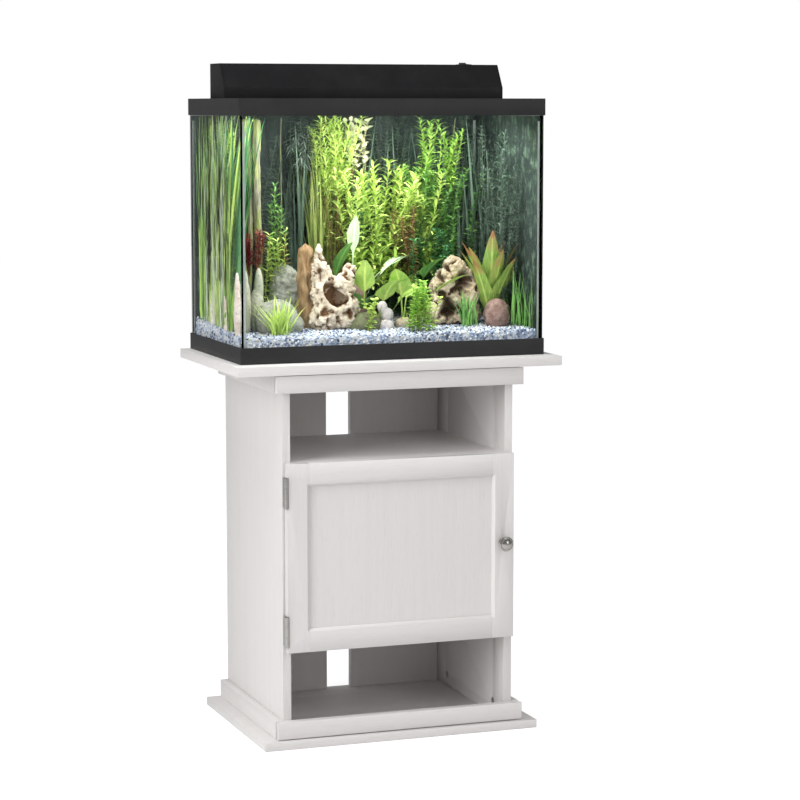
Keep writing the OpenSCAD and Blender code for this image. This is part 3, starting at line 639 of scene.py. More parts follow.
print("knob faces:", len(knob_mesh.polygons), "radius", round(knob_radius, 4))

# %% Hinges: leaves with smooth barrels, and pins with domed ends
CREASE = math.radians(30)
for node in ("hinge_frame_leaves", "hinge_door_leaves"):
    leaves = new_piece(node + "_smooth", welded_copy(node, node + "_smooth"),
        "door" if "door" in node else "stand", [node])
    leaves.data.set_sharp_from_angle(angle=CREASE)
    leaves.data.materials.append(nickel)
pin_low, pin_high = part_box("hinge_pins")
pin_x = (pin_low.x + pin_high.x) / 2
pin_y = (pin_low.y + pin_high.y) / 2
pin_radius = (pin_high.x - pin_low.x) / 2
hinge_length = 57 * MM
head_radius = 3.9 * MM
head_rise = 2.2 * MM
pin_outline = (
    [(0.0, -head_rise)]
    + [(head_radius * math.cos(math.radians(a)), head_rise * math.sin(math.radians(a)))
       for a in range(-80, 1, 16)]
    + [(pin_radius, 0.02 * MM), (pin_radius, hinge_length - 0.02 * MM)]
    + [(head_radius * math.cos(math.radians(a)),
        hinge_length + head_rise * math.sin(math.radians(a))) for a in range(0, 81, 16)]
    + [(0.0, hinge_length + head_rise)]
)
pin_joined = bmesh.new()
for base_z in (pin_low.z, pin_high.z - hinge_length):
    one = turned_mesh("pin", pin_outline, 24)
    for vertex in one.vertices:
        vertex.co += Vector((pin_x, pin_y, base_z))
    pin_joined.from_mesh(one)
pin_mesh = mesh_from(pin_joined, "hinge_pins_domed")
new_piece("hinge_pins_domed", pin_mesh, "stand", ["hinge_pins"])
pin_mesh.materials.append(nickel)
print("hinge pins at x", round(pin_x, 4), "y", round(pin_y, 4))

# %% [markdown]
# ## Frames, canopy and light
#
# These shapes are right in CAD, so they are eased copies too. Moulded plastic has rounder edges
# than board, and the strip light's folded front keeps a crisp line.

# %% Moulded frames and the light
for node in ("tank_bottom_frame", "tank_top_rim"):
    eased_node(node, rim_black, 0.9 * MM, segments=3)
for node in ("light_housing", "light_left_cap", "light_right_cap"):
    eased_node(node, light_black, 0.8 * MM, "light")
eased_node("rocker_switch", switch_black, 0.5 * MM, "rocker")
eased_node("switch_body", switch_black, 0.3 * MM, "light")
eased_node("lid_handle", rim_black, 0.6 * MM, "lid")

# %% CAD nodes whose shape is kept take a finish in their own slots
KEPT = {
    "cam_locks": steel, "cam_bolts": steel, "frame_screws": steel, "door_screws": steel,
    "catch_plate": steel, "catch_body": white_plastic, "canopy_hinge_strip": rim_black,
    "lid_hinge_strip": rim_black, "light_lens": diffuser, "led_board": board_green,
    "power_socket": switch_black, "canopy_rear_glass": canopy_glass, "lid_glass": canopy_glass,
    "silicone_seams": silicone,
}
for node, finish_used in KEPT.items():
    nodes[node].data.materials.clear()
    nodes[node].data.materials.append(finish_used)
print("kept CAD nodes:", len(KEPT))

# %% [markdown]
# The tank's five panes touch each other in CAD. A renderer loses its way where two glass faces
# share one plane, so each pane is copied a hair smaller, with the fine ground edge that cut glass
# has.

# %% Tank panes
BOND_GAP = 0.08 * MM
GROUND_EDGE = 0.4 * MM
PANES = ["front_glass", "back_glass", "left_glass", "right_glass", "bottom_glass"]
for node in PANES:
    pane_low, pane_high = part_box(node)
    pane_middle = (pane_low + pane_high) / 2
    pane = eased_node(node, tank_glass, GROUND_EDGE, name=node + "_pane", segments=1)
    for vertex in pane.data.vertices:
        for k in range(3):
            vertex.co[k] -= math.copysign(BOND_GAP, vertex.co[k] - pane_middle[k])
    pane.data.shade_flat()
    pane.modifiers["eased_edges"].harden_normals = False
print("panes:", len(PANES))

# %% [markdown]
# ## The painted background
#
# A printed film lies behind the back pane and over the right one. It shows deep water: near-black
# green with slow upright streaks, thin pale needles at the left, and dim leafy blotches towards
# the right. Its outer side isn't printed, so there the material turns plain black.

# %% Background film
film_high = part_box("background_film")[1]
FILM_SKIN = 0.2 * MM


def make_background():
    material, tree, shader, place = finish("background_film_finish", 0.6)
    upright = noise_mask(tree, stretched(tree, place, (26.0, 1.0, 3.0)), 1.0, 5.0, 0.6, 0.3, 0.7)
    base = ramp(tree, upright, [(0.0, (0.012, 0.015, 0.015)), (0.5, (0.030, 0.040, 0.038)),
        (1.0, (0.055, 0.075, 0.066))])
    turn = add(tree, "ShaderNodeMapping", {"Vector": place, "Rotation": (0.0, 0.55, 0.0),
        "Scale": (60.0, 1.0, 7.0)})
    cell = add(tree, "ShaderNodeTexVoronoi", {"Vector": turn.outputs["Vector"], "Scale": 1.0})
    thin = mapped(tree, cell.outputs["Distance"], (0.16, 0.05))
    spot = add(tree, "ShaderNodeSeparateXYZ", {0: place})
    left = mapped(tree, spot.outputs["X"], (-0.02, -0.16))
    right = mapped(tree, spot.outputs["X"], (0.08, 0.26))
    needles = times(tree, thin, left)
    leaves = noise_mask(tree, stretched(tree, place, (1.0, 1.0, 0.6)), 75.0, 4.0, 0.7, 0.5, 0.72)
    leafy = times(tree, leaves, plus(tree, times(tree, right, 0.8), 0.15))
    with_leaves = blend_colour(tree, leafy, base, (0.16, 0.24, 0.17))
    colour = blend_colour(tree, times(tree, needles, 0.55), with_leaves, (0.42, 0.48, 0.42))
    past_back = math_node(tree, "GREATER_THAN", spot.outputs["Y"], film_high.y - FILM_SKIN)
    past_side = math_node(tree, "GREATER_THAN", spot.outputs["X"], film_high.x - FILM_SKIN)
    outside = math_node(tree, "MAXIMUM", past_back, past_side)
    wire(tree, blend_colour(tree, outside, colour, (0.018, 0.020, 0.021)),
        shader.inputs["Base Color"])
    return material


background = make_background()
nodes["background_film"].data.materials.clear()
nodes["background_film"].data.materials.append(background)
print("background done")

# %% [markdown]
# ## Gravel
#
# The gravel is one small rounded stone, scattered thousands of times over a bed by Geometry Nodes.
# The pebbles lie on a closed bed with the same colours, which fills the gaps between them. The
# points keep a least distance from each other, so the pebbles lie side by side. Each pebble gets a
# random number that its material turns into one of the mix's colours.

# %% The bed that the pebbles lie on
bed_low, bed_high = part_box("gravel_bed")
BED_FRONT = 30 * MM
BED_UNEVEN = 2.2 * MM
FOOT_GAP = 0.3 * MM
BED_BACK = bed_high.z - bed_low.z
tank_y = tank_middle_y
floor_top = bed_low.z


def bed_z(y):
    """Height of the gravel at a distance y, as in CAD: it rises towards the back."""
    share = (y - bed_low.y) / (bed_high.y - bed_low.y)
    return floor_top + BED_FRONT + (BED_BACK - BED_FRONT) * min(max(share, 0.0), 1.0)


def bed_mesh(name, inset, sink, steps):
    """A gently uneven sheet with skirts down to the floor, inset from the glass."""
    shape = bmesh.new()
    x0, x1 = bed_low.x + inset, bed_high.x - inset
    y0, y1 = bed_low.y + inset, bed_high.y - inset
    columns, rows = steps, steps // 2
    grid = []
    for i in range(columns + 1):
        x = x0 + (x1 - x0) * i / columns
        line = []
        for j in range(rows + 1):
            y = y0 + (y1 - y0) * j / rows
            lift = BED_UNEVEN * noise.noise(Vector((x * 18, y * 18, 3.0)))
            line.append(shape.verts.new((x, y, bed_z(y) - sink + lift)))
        grid.append(line)
    for i in range(columns):
        for j in range(rows):
            shape.faces.new((grid[i][j], grid[i + 1][j], grid[i + 1][j + 1], grid[i][j + 1]))
    rim = ([line[0] for line in grid] + grid[-1][1:] + [line[-1] for line in grid[-2::-1]]
        + grid[0][-2:0:-1])
    foot = [shape.verts.new((v.co.x, v.co.y, floor_top + FOOT_GAP)) for v in rim]
    for k in range(len(rim)):
        n = (k + 1) % len(rim)
        shape.faces.new((rim[k], foot[k], foot[n], rim[n]))
    shape.faces.new(foot[::-1])
    bmesh.ops.recalc_face_normals(shape, faces=shape.faces)
    return mesh_from(shape, name)

# %% Geometry Nodes: a scatter of pebbles
DENSEST = 90000.0


def random_value(tree, low, high, seed):
    node = add(tree, "FunctionNodeRandomValue", {2: low, 3: high, 8: seed}, data_type="FLOAT")
    return node.outputs[1]


def seeded(tree, ins, low, high, step):
    """A random value whose seed is the tree's own Seed plus a step."""
    return random_value(tree, low, high, plus(tree, ins["Seed"], float(step)))


def shaded_and_placed(tree, ins, outs, placed, step, others=()):
    """Gives each instance a random shade, makes it real and sets the tree's Finish."""
    chance = seeded(tree, ins, 0.0, 1.0, step)
    last = add(tree, "GeometryNodeStoreNamedAttribute", {"Geometry": placed, "Name": "shade",
        "Value": chance}, data_type="FLOAT", domain="INSTANCE").outputs[0]
    if others:
        both = add(tree, "GeometryNodeJoinGeometry")
        for geometry in (last, *others):
            tree.links.new(geometry, both.inputs[0])
        last = both.outputs[0]
    real = add(tree, "GeometryNodeRealizeInstances", {"Geometry": last})
    done = add(tree, "GeometryNodeSetMaterial", {"Geometry": real.outputs[0],
        "Material": ins["Finish"]})
    wire(tree, done.outputs[0], outs["Geometry"])


def make_scatter():
    tree, ins, outs = new_group("scatter_on_bed", "GeometryNodeTree",
        [("Bed", "Geometry", None), ("Stone", "Object", None), ("Gap", "Float", 0.005),
         ("Smallest", "Float", 0.8), ("Largest", "Float", 1.25), ("Seed", "Int", 1),
         ("Finish", "Material", None)],
        [("Geometry", "Geometry", None)])
    spread = add(tree, "GeometryNodeDistributePointsOnFaces", {"Mesh": ins["Bed"],
        "Distance Min": ins["Gap"], "Density Max": DENSEST, "Seed": ins["Seed"]},
        distribute_method="POISSON")
    stone = add(tree, "GeometryNodeObjectInfo", {"Object": ins["Stone"]})
    turns = [seeded(tree, ins, 0.0, 2 * math.pi, step) for step in (1, 2, 3)]
    turn = add(tree, "ShaderNodeCombineXYZ", dict(zip(range(3), turns)))
    size = seeded(tree, ins, ins["Smallest"], ins["Largest"], 4)
    placed = add(tree, "GeometryNodeInstanceOnPoints", {"Points": spread.outputs["Points"],
        "Instance": stone.outputs["Geometry"], "Rotation": turn.outputs[0], "Scale": size})
    shaded_and_placed(tree, ins, outs, placed.outputs[0], 5)
    return tree


def socket_id(tree, label):
    return next(item.identifier for item in tree.interface.items_tree
        if item.item_type == "SOCKET" and item.in_out == "INPUT" and item.name == label)


def grown(name, mesh, tree, **inputs):
    """Runs a Geometry Nodes tree on a mesh and returns the result as a plain mesh."""
    seed_object = bpy.data.objects.new(name + "_seed", mesh)
    bpy.context.scene.collection.objects.link(seed_object)
    modifier = seed_object.modifiers.new("grow", "NODES")
    modifier.node_group = tree
    for label, value in inputs.items():
        modifier[socket_id(tree, label.replace("_", " "))] = value
    graph = bpy.context.evaluated_depsgraph_get()
    result = bpy.data.meshes.new_from_object(seed_object.evaluated_get(graph),
        preserve_all_data_layers=True, depsgraph=graph)
    result.name = name
    bpy.data.objects.remove(seed_object)
    return result


def helper_object(name, mesh):
    """A shape that only the node trees use. It is never in the scene."""
    return bpy.data.objects.new(name, mesh)

# %% One pebble, and the gravel's finish
PEBBLE_UNEVEN = (0.82, 1.12)


def pebble_mesh(name, radius, flat, seed):
    shape = bmesh.new()
    bmesh.ops.create_icosphere(shape, subdivisions=1, radius=radius)
    dice = random.Random(seed)
    for vertex in shape.verts:
        vertex.co *= dice.uniform(*PEBBLE_UNEVEN)
        vertex.co.z *= flat
    mesh = mesh_from(shape, name)
    mesh.shade_smooth()
    return mesh


def make_gravel_finish():
    material, tree, shader, place = finish("gravel_finish", 0.45)
    shade = add(tree, "ShaderNodeAttribute", attribute_name="shade").outputs["Fac"]
    mix = ramp(tree, shade, [(0.0, (0.10, 0.12, 0.18)), (0.12, (0.26, 0.32, 0.46)),
        (0.28, (0.47, 0.55, 0.70)), (0.48, (0.80, 0.82, 0.85)), (0.78, (0.66, 0.71, 0.80)),
        (0.92, (0.66, 0.62, 0.54))])
    mix.node.color_ramp.interpolation = "CONSTANT"
    spots = noise_mask(tree, place, 420.0, 3.0, 0.6, 0.35, 0.7)
    darker = blend_colour(tree, 1.0, mix, (0.62, 0.64, 0.68), mode="MULTIPLY")
    wire(tree, blend_colour(tree, spots, mix, darker), shader.inputs["Base Color"])
    bump(tree, shader, spots, 0.3, 0.0003)
    return material


gravel_finish = make_gravel_finish()
scatter_tree = make_scatter()
PEBBLE_RADIUS = 2.9 * MM
PEBBLE_FLATNESS = 0.72
PEBBLE_GAP = 4.75 * MM
pebble = helper_object("pebble", pebble_mesh("pebble", PEBBLE_RADIUS, PEBBLE_FLATNESS, 5))
under = bed_mesh("gravel_under", inset=3.0 * MM, sink=3.5 * MM, steps=90)
under_shade = under.attributes.new("shade", "FLOAT", "POINT")
shade_dice = random.Random(4)
under_shade.data.foreach_set("value", [shade_dice.random() for _ in under.vertices])
under.materials.append(gravel_finish)
new_piece("gravel_under", under, smooth=False)
top_bed = bed_mesh("gravel_bed_guide", inset=3.4 * MM, sink=2.6 * MM, steps=48)
gravel = grown("gravel_pebbles", top_bed, scatter_tree, Stone=pebble, Gap=PEBBLE_GAP,
    Smallest=0.75, Largest=1.25, Seed=11, Finish=gravel_finish)
new_piece("gravel_pebbles", gravel, replaces=["gravel_bed"])
print("gravel triangles:", len(gravel.polygons))

# %% [markdown]
# ## Stones and rock
#
# A stone starts as a few rounded lumps that a voxel remesh melts into one skin. Every point of
# the skin is then pushed along its normal by layered noise, and pushed in where a hollow is
# wanted. How deep a point lies is kept in an attribute, so that the finish paints shade into
# hollows.

# %% Stone helpers
tank_x = (bed_low.x + bed_high.x) / 2


def in_tank(x, y, height=0.0):
    """A place given from the tank's middle, in millimetres, with its height over the gravel."""
    world_y = tank_y + y * MM
    return Vector((tank_x + x * MM, world_y, bed_z(world_y) + height * MM))


def lumps_mesh(name, lumps, voxel):
    """Ellipsoids, each (x, y, height, half sizes) as in_tank takes them, melted into one skin."""
    shape = bmesh.new()
    for x, y, height, *radii in lumps:
        centre = in_tank(x, y, height)
        made = bmesh.ops.create_icosphere(shape, subdivisions=3, radius=1.0)
        for vertex in made["verts"]:
            vertex.co = centre + Vector([vertex.co[k] * radii[k] * MM for k in range(3)])
    holder = bpy.data.objects.new(name, mesh_from(shape, name))
    bpy.context.scene.collection.objects.link(holder)
    remesh = holder.modifiers.new("skin", "REMESH")
    remesh.mode = "VOXEL"
    remesh.voxel_size = voxel
    graph = bpy.context.evaluated_depsgraph_get()
    skin = bpy.data.meshes.new_from_object(holder.evaluated_get(graph))
    skin.name = name
    bpy.data.objects.remove(holder)
    return skin


def weather(mesh, rough, scale, cavity=0.0, hollows=(), seed=0.0):
    """Pushes a skin about. Cavities are ragged and ridged; hollows are listed, each
    (x, y, height, radius, depth) in millimetres."""
    pits = [(in_tank(*hollow[:3]), hollow[3] * MM, hollow[4] * MM) for hollow in hollows]
    depth = mesh.attributes.new("depth", "FLOAT", "POINT")
    normals = [vertex.normal.copy() for vertex in mesh.vertices]
    shift = Vector((seed, seed * 1.7, -seed))
    for vertex, normal in zip(mesh.vertices, normals):
        # Four octaves of noise push the skin in and out, large bumps with small ones on them.
        spot = vertex.co * scale + shift
        push = rough * 0.8 * noise.fractal(spot, 0.9, 2.1, 4)
        sunk = 0.0
        if cavity:
            # Where a slower noise is high the skin sinks, and thin ridges stand between.
            ragged = noise.fractal(spot * 1.7 + shift, 1.0, 2.0, 3)
            sunk = min(1.0, max(0.0, ragged - 0.10) * 2.6)
            crease = abs(noise.noise(spot * 2.3)) + 0.5 * abs(noise.noise(spot * 5.1))
            push += cavity * (0.45 * max(0.0, 1.0 - 4.0 * crease) - sunk ** 0.7)
        for place, radius, deep in pits:
            wobble = 1.0 + 0.45 * noise.noise(spot * 2.0)
            reach = (vertex.co - place).length / (radius * wobble)
            if reach < 1.0:
                fall = (1.0 - reach * reach) ** 0.8
                push -= deep * fall
                sunk = max(sunk, min(1.0, fall * 1.8))
        vertex.co += normal * push
        depth.data[vertex.index].value = sunk
    return mesh

# %% Stone finishes
def make_stone(name, light, dark, stain, scale=60.0, roughness=0.75, painted_hollow_shade=(0.05, 0.035, 0.02)):
    material, tree, shader, place = finish(name, roughness, specular=0.3)
    marks = use_group(tree, stone_mottle, Vector=place, Scale=scale)
    base = blend_colour(tree, marks["Grain"], light, dark)
    stained = blend_colour(tree, times(tree, marks["Stain"], 0.7), base, stain)
    depth = add(tree, "ShaderNodeAttribute", attribute_name="depth").outputs["Fac"]
    # Deep hollows and small pits are darkened with painted shade, as if no light reached into them.
    hollow = plus(tree, depth, times(tree, marks["Pits"], 0.35), clamp=True)
    wire(tree, blend_colour(tree, hollow, stained, painted_hollow_shade), shader.inputs["Base Color"])
    bump(tree, shader, marks["Height"], 0.6, 0.0012)
    return material


pale_rock = make_stone("pale_rock_finish", (0.80, 0.70, 0.55), (0.50, 0.40, 0.28),
    (0.68, 0.60, 0.50), 45.0, painted_hollow_shade=(0.12, 0.06, 0.025))
brown_rock = make_stone("brown_rock_finish", (0.55, 0.45, 0.31), (0.27, 0.20, 0.12),
    (0.60, 0.52, 0.40), 40.0, painted_hollow_shade=(0.05, 0.03, 0.015))
grey_rock = make_stone("grey_rock_finish", (0.36, 0.38, 0.31), (0.15, 0.16, 0.13),
    (0.44, 0.45, 0.38), 85.0, painted_hollow_shade=(0.04, 0.045, 0.035))
pale_stone = make_stone("pale_stone_finish", (0.50, 0.50, 0.38), (0.40, 0.40, 0.31),
    (0.33, 0.36, 0.28), 30.0, 0.55)
pink_stone = make_stone("pink_stone_finish", (0.27, 0.165, 0.14), (0.13, 0.075, 0.06),
    (0.38, 0.27, 0.23), 95.0, 0.75)
white_stone = make_stone("white_stone_finish", (0.78, 0.70, 0.72), (0.55, 0.50, 0.55),
    (0.70, 0.66, 0.60), 110.0, 0.6)
pane_stone = make_stone("pane_stone_finish", (0.80, 0.66, 0.58), (0.58, 0.46, 0.38),
    (0.88, 0.84, 0.78), 34.0, 0.6)
moss_stone = make_stone("moss_stone_finish", (0.21, 0.20, 0.13), (0.12, 0.12, 0.08),
    (0.17, 0.21, 0.09), 60.0, 0.8)

# %% The two big rocks
left_rock_lumps = [
    (-110, -62, 20, 26, 28, 34), (-110, -60, 68, 20, 22, 40),
    (-115, -58, 112, 14, 17, 32), (-117, -58, 138, 8, 11, 22),
    (-84, -60, 30, 28, 26, 36), (-86, -62, 82, 20, 17, 22),
    (-66, -62, 88, 19, 20, 23), (-58, -64, 44, 19, 24, 42),
    (-98, -56, 104, 13, 16, 18), (-55, -66, 108, 11, 14, 14),
]
left_hollows = [
    (-88, -84, 64, 21, 24), (-101, -84, 82, 14, 16),
    (-74, -86, 60, 13, 14), (-110, -84, 36, 12, 12),
    (-62, -88, 30, 12, 11), (-118, -74, 112, 9, 9), (-84, -90, 20, 10, 10),
]
left_rock = weather(lumps_mesh("holey_rock_left", left_rock_lumps, 2.0 * MM), 9.0 * MM, 42.0,
    6.5 * MM, left_hollows, 3.0)
left_rock.materials.append(pale_rock)
new_piece("holey_rock_left", left_rock, replaces=["left_rock"])

right_rock_lumps = [
    (176, -36, 26, 50, 34, 44), (158, -36, 62, 34, 28, 40),
    (186, -34, 84, 32, 27, 34), (150, -38, 18, 34, 30, 30),
    (205, -36, 48, 24, 24, 40), (176, -34, 110, 24, 20, 20), (148, -38, 88, 16, 16, 22),
]
right_hollows = [
    (190, -64, 86, 23, 26), (150, -68, 28, 22, 22), (208, -60, 88, 12, 12), (166, -66, 68, 10, 10),
    (136, -60, 58, 13, 12), (184, -70, 24, 13, 10),
]
right_rock = weather(lumps_mesh("holey_rock_right", right_rock_lumps, 2.1 * MM), 11.0 * MM, 34.0,
    6.0 * MM, right_hollows, 8.0)
right_rock.materials.append(brown_rock)
new_piece("holey_rock_right", right_rock, replaces=["right_rock"])
print("rock faces:", len(left_rock.polygons), len(right_rock.polygons))

# %% Rounded stones
STONES = [
    # name, finish, lumps, roughness in millimetres, scale of the noise
    ("pointed_stone_left", pale_stone, [(-269, -77, 46, 11, 13, 60),
        (-268, -77, 82, 6, 8, 38)], 1.2, 40.0),
    ("pointed_stone_right", pale_stone, [(-240, -58, 34, 16, 15, 48),
        (-236, -58, 76, 9, 9, 44)], 1.2, 40.0),
    ("broad_grey_stone", grey_rock, [(-206, -76, 20, 44, 26, 40),
        (-176, -72, 10, 26, 22, 24)], 3.0, 36.0),
    ("mottled_grey_stone", grey_rock, [(-158, 22, 74, 30, 22, 42),
        (-160, 24, 30, 36, 26, 50)], 5.5, 34.0),
    ("pink_brown_stone", pink_stone, [(243, -90, 20, 27, 22, 33)], 2.4, 60.0),
    ("moss_stone_middle", moss_stone, [(-24, -76, 8, 30, 22, 24),
        (-44, -66, 4, 22, 18, 16)], 3.0, 40.0),
    ("white_stone_low", white_stone, [(14, -84, 4, 15, 12, 13)], 1.6, 60.0),
    ("white_stone_high", white_stone, [(20, -72, 24, 13, 10, 14),
        (10, -72, 40, 10, 8, 12)], 2.0, 60.0),
    ("brown_stone_low", brown_rock, [(56, -70, 6, 20, 14, 12)], 1.6, 60.0),
    ("pane_stone_front", pane_stone, [(-289, -104, 34, 7, 12, 58),
        (-289, -102, 84, 5, 7, 34)], 2.2, 46.0),
    ("pane_stone_middle", pane_stone, [(-289, -38, 30, 7, 14, 66),
        (-289, -30, 90, 5, 8, 40)], 2.2, 46.0),
    ("pane_stone_back", pane_stone, [(-289, 56, 26, 7, 15, 66)], 2.2, 46.0),
    ("brown_stone_behind", pink_stone, [(-26, -30, 60, 18, 14, 24),
        (-26, -28, 22, 20, 16, 34)], 2.0, 50.0),
]
for name, stone_finish, stone_lumps, rough, scale in STONES:
    stone = weather(lumps_mesh(name, stone_lumps, 2.0 * MM), rough * MM, scale,
        seed=float(len(name)))
    stone.materials.append(stone_finish)
    standing = ["round_stones"] if name == "broad_grey_stone" else []
    new_piece(name, stone, replaces=standing)
print("stones:", len(STONES))

# %% [markdown]
# ## Driftwood
#
# The stump and the tall old stems are ribbed columns. Each is a ring of points carried up a
# wandering line, with ribs and knots added to its radius by noise, so one function makes them all.

# %% Ribbed wood
def ribbed_column(shape, foot, top, radius_foot, radius_top, ribs, rough, seed, rings=40,
        around=36, sway=0.0, squash=1.0):
    """Adds a closed ribbed column to a bmesh."""
    levels = []
    for i in range(rings + 1):
        t = i / rings
        centre = foot.lerp(top, t)
        centre.x += sway * math.sin(t * 5.0 + seed)
        centre.y += sway * 0.6 * math.sin(t * 3.6 + seed * 2)
        radius = radius_foot + (radius_top - radius_foot) * t
        ring = []
        for k in range(around):
            angle = 2 * math.pi * k / around
            rib = 0.5 * abs(math.sin(angle * ribs / 2 + 1.6 * noise.noise(
                Vector((t * 3.0, seed, 0.0)))))
            knot = noise.noise(Vector((math.cos(angle) * 1.5, math.sin(angle) * 1.5,
                t * (top - foot).length * 45.0 + seed * 5)))
            r = radius * (1.0 + rough * (rib - 0.25) + rough * 1.4 * knot)
            ring.append(shape.verts.new((centre.x + r * math.cos(angle),
                centre.y + r * squash * math.sin(angle), centre.z)))
        levels.append(ring)
    for low, high in zip(levels, levels[1:]):
        for k in range(around):
            n = (k + 1) % around
            shape.faces.new((low[k], low[n], high[n], high[k]))
    for share in (0.62, 0.2):
        middle_top = sum((v.co for v in levels[-1]), Vector()) / around
        rim = [shape.verts.new(middle_top.lerp(v.co, share) + Vector((0, 0, radius_top
            * (0.35 + 0.5 * noise.noise(v.co * 300.0))))) for v in levels[-1]]
        for k in range(around):
            n = (k + 1) % around
            shape.faces.new((levels[-1][k], levels[-1][n], rim[n], rim[k]))
        levels.append(rim)
    shape.faces.new(levels[0][::-1])
    shape.faces.new(levels[-1])


def columns_mesh(name, columns):
    shape = bmesh.new()
    for column in columns:
        ribbed_column(shape, **column)
    bmesh.ops.recalc_face_normals(shape, faces=shape.faces)
    return mesh_from(shape, name)


def make_wood(name, light, dark, moss, moss_amount):
    material, tree, shader, place = finish(name, 0.8, specular=0.25)
    fibre = noise_mask(tree, stretched(tree, place, (1.0, 1.0, 0.16)), 260.0, 4.0, 0.6, 0.3, 0.7)
    patch = noise_mask(tree, stretched(tree, place, (1.0, 1.0, 0.5)), 55.0, 4.0, 0.6, 0.42, 0.6)
    base = blend_colour(tree, fibre, dark, light)
    mossy = times(tree, patch, moss_amount)
    wire(tree, blend_colour(tree, mossy, base, moss), shader.inputs["Base Color"])
    bump(tree, shader, fibre, 0.7, 0.0016)
    return material


stump_wood = make_wood("stump_wood_finish", (0.42, 0.27, 0.14), (0.20, 0.115, 0.055),
    (0.33, 0.25, 0.14), 0.5)
stem_wood = make_wood("old_stem_finish", (0.30, 0.29, 0.21), (0.13, 0.13, 0.09),
    (0.27, 0.31, 0.10), 0.8)
stump = columns_mesh("driftwood_stump", [
    dict(foot=in_tank(-131, -28, -6), top=in_tank(-131, -26, 150), radius_foot=0.019,
        radius_top=0.012, ribs=9, rough=0.40, seed=1.0, sway=0.003),
    dict(foot=in_tank(-118, -24, -6), top=in_tank(-116, -22, 112), radius_foot=0.013,
        radius_top=0.008, ribs=7, rough=0.34, seed=4.0, sway=0.003),
])
stump.materials.append(stump_wood)
new_piece("driftwood_stump", stump, replaces=["driftwood"])
STEM_TOP = 392
OLD_STEMS = [
    # x at the foot, x at the top, y, radius at the foot, radius at the top, seed, sway
    (-238, -234, 42, 6.5, 6.0, 2.0, 4),
    (-222, -222, 50, 4.5, 5.0, 5.0, 3),
    (-207, -204, 42, 6.5, 6.8, 7.0, 4),
]
old_stems = columns_mesh("driftwood_stems", [
    dict(foot=in_tank(x_foot, y, -6), top=in_tank(x_top, y + 2, STEM_TOP), radius_foot=thick * MM,
        radius_top=thin * MM, ribs=5, rough=0.30, seed=seed, sway=sway * MM, rings=60, around=20)
    for x_foot, x_top, y, thick, thin, seed, sway in OLD_STEMS
])
old_stems.materials.append(stem_wood)
new_piece("driftwood_stems", old_stems)
branch = columns_mesh("thin_branches", [
    dict(foot=in_tank(196, 118, 60), top=in_tank(236, 128, STEM_TOP), radius_foot=0.0022,
        radius_top=0.0012, ribs=3, rough=0.2, seed=3.0, sway=0.004, rings=50, around=10),
    dict(foot=in_tank(-143, 128, 60), top=in_tank(-124, 132, STEM_TOP), radius_foot=0.0018,
        radius_top=0.0011, ribs=3, rough=0.2, seed=6.0, sway=0.005, rings=50, around=10),
])
branch.materials.append(stem_wood)
new_piece("thin_branches", branch)
print("wood faces:", len(stump.polygons) + len(old_stems.polygons) + len(branch.polygons))

# %% [markdown]
# ## Water plants
#
# Nearly every water plant here is one leaf repeated along a stem, or one blade repeated from a
# foot. So there are two Geometry Nodes trees: leafy_stems carries whorls of leaves up drawn lines,
# and tufts stands blades on points. What changes from plant to plant is the leaf, its spacing,
# its tilt, and the two greens that its finish mixes. Broad leaves are few, so they are placed
# one by one instead.

# %% One leaf
def add_leaf(shape, uv_layer, seat, length, width, rows=3, fold=0.2, arch=0.6, outline=0.9,
        stalk=0.0, wave=0.0):
    """A leaf that grows up the seat's Z and arches towards its -Y. outline moves the widest
    place: under 1 towards the foot, over 1 towards the tip."""
    levels = []
    for i in range(rows + 1):
        t = i / rows
        bend = max(arch, 0.001) * t
        rise = length * math.sin(bend) / max(arch, 0.001)
        lean = -length * (1 - math.cos(bend)) / max(arch, 0.001)
        s = max(0.0, (t - stalk) / (1.0 - stalk))
        half = width / 2 * max(0.07, math.sin(math.pi * min(s, 1.0) ** outline) ** 0.8)
        row = []
        for side in (-1, 0, 1):
            lift = abs(side) * half * (fold + wave * math.sin(t * 17.0 + side))
            spot = Vector((side * half, lean + lift * math.cos(bend), rise + lift * math.sin(bend)))
            row.append((shape.verts.new(seat @ spot), ((side + 1) / 2, t)))
        levels.append(row)
    for low, high in zip(levels, levels[1:]):
        for k in (0, 1):
            corners = (low[k], high[k], high[k + 1], low[k + 1])
            face = shape.faces.new([vertex for vertex, uv in corners])
            for loop, (vertex, uv) in zip(face.loops, corners):
                loop[uv_layer].uv = uv


def leaf_mesh(name, length, width, **shape_of_leaf):
    shape = bmesh.new()
    add_leaf(shape, shape.loops.layers.uv.new("UVMap"), Matrix.Identity(4), length * MM,
        width * MM, **shape_of_leaf)
    mesh = mesh_from(shape, name)
    mesh.shade_smooth()
    return helper_object(name, mesh)


LEAVES = {
    "needle": leaf_mesh("needle_leaf", 20, 1.7, rows=2, fold=0.0, arch=0.9),
    "fine": leaf_mesh("fine_leaf", 15, 3.0, rows=2, fold=0.2, arch=0.7),
    "oval": leaf_mesh("oval_leaf", 19, 7.5, rows=3, fold=0.2, arch=0.8, outline=0.85),
    "round": leaf_mesh("round_leaf", 17, 11, rows=3, fold=0.15, arch=0.7, outline=1.1, wave=0.2),
    "lance": leaf_mesh("lance_leaf", 36, 8, rows=4, fold=0.25, arch=0.8, outline=0.8),
    "blade": leaf_mesh("grass_blade", 100, 5.0, rows=6, fold=0.1, arch=0.55, outline=0.62),
    "ribbon": leaf_mesh("ribbon_blade", 100, 2.3, rows=9, fold=0.05, arch=0.22, outline=0.45),
}
print("leaf kinds:", sorted(LEAVES))

# %% Geometry Nodes: leaves up a stem
GOLDEN_TURN = math.pi * (3 - math.sqrt(5))


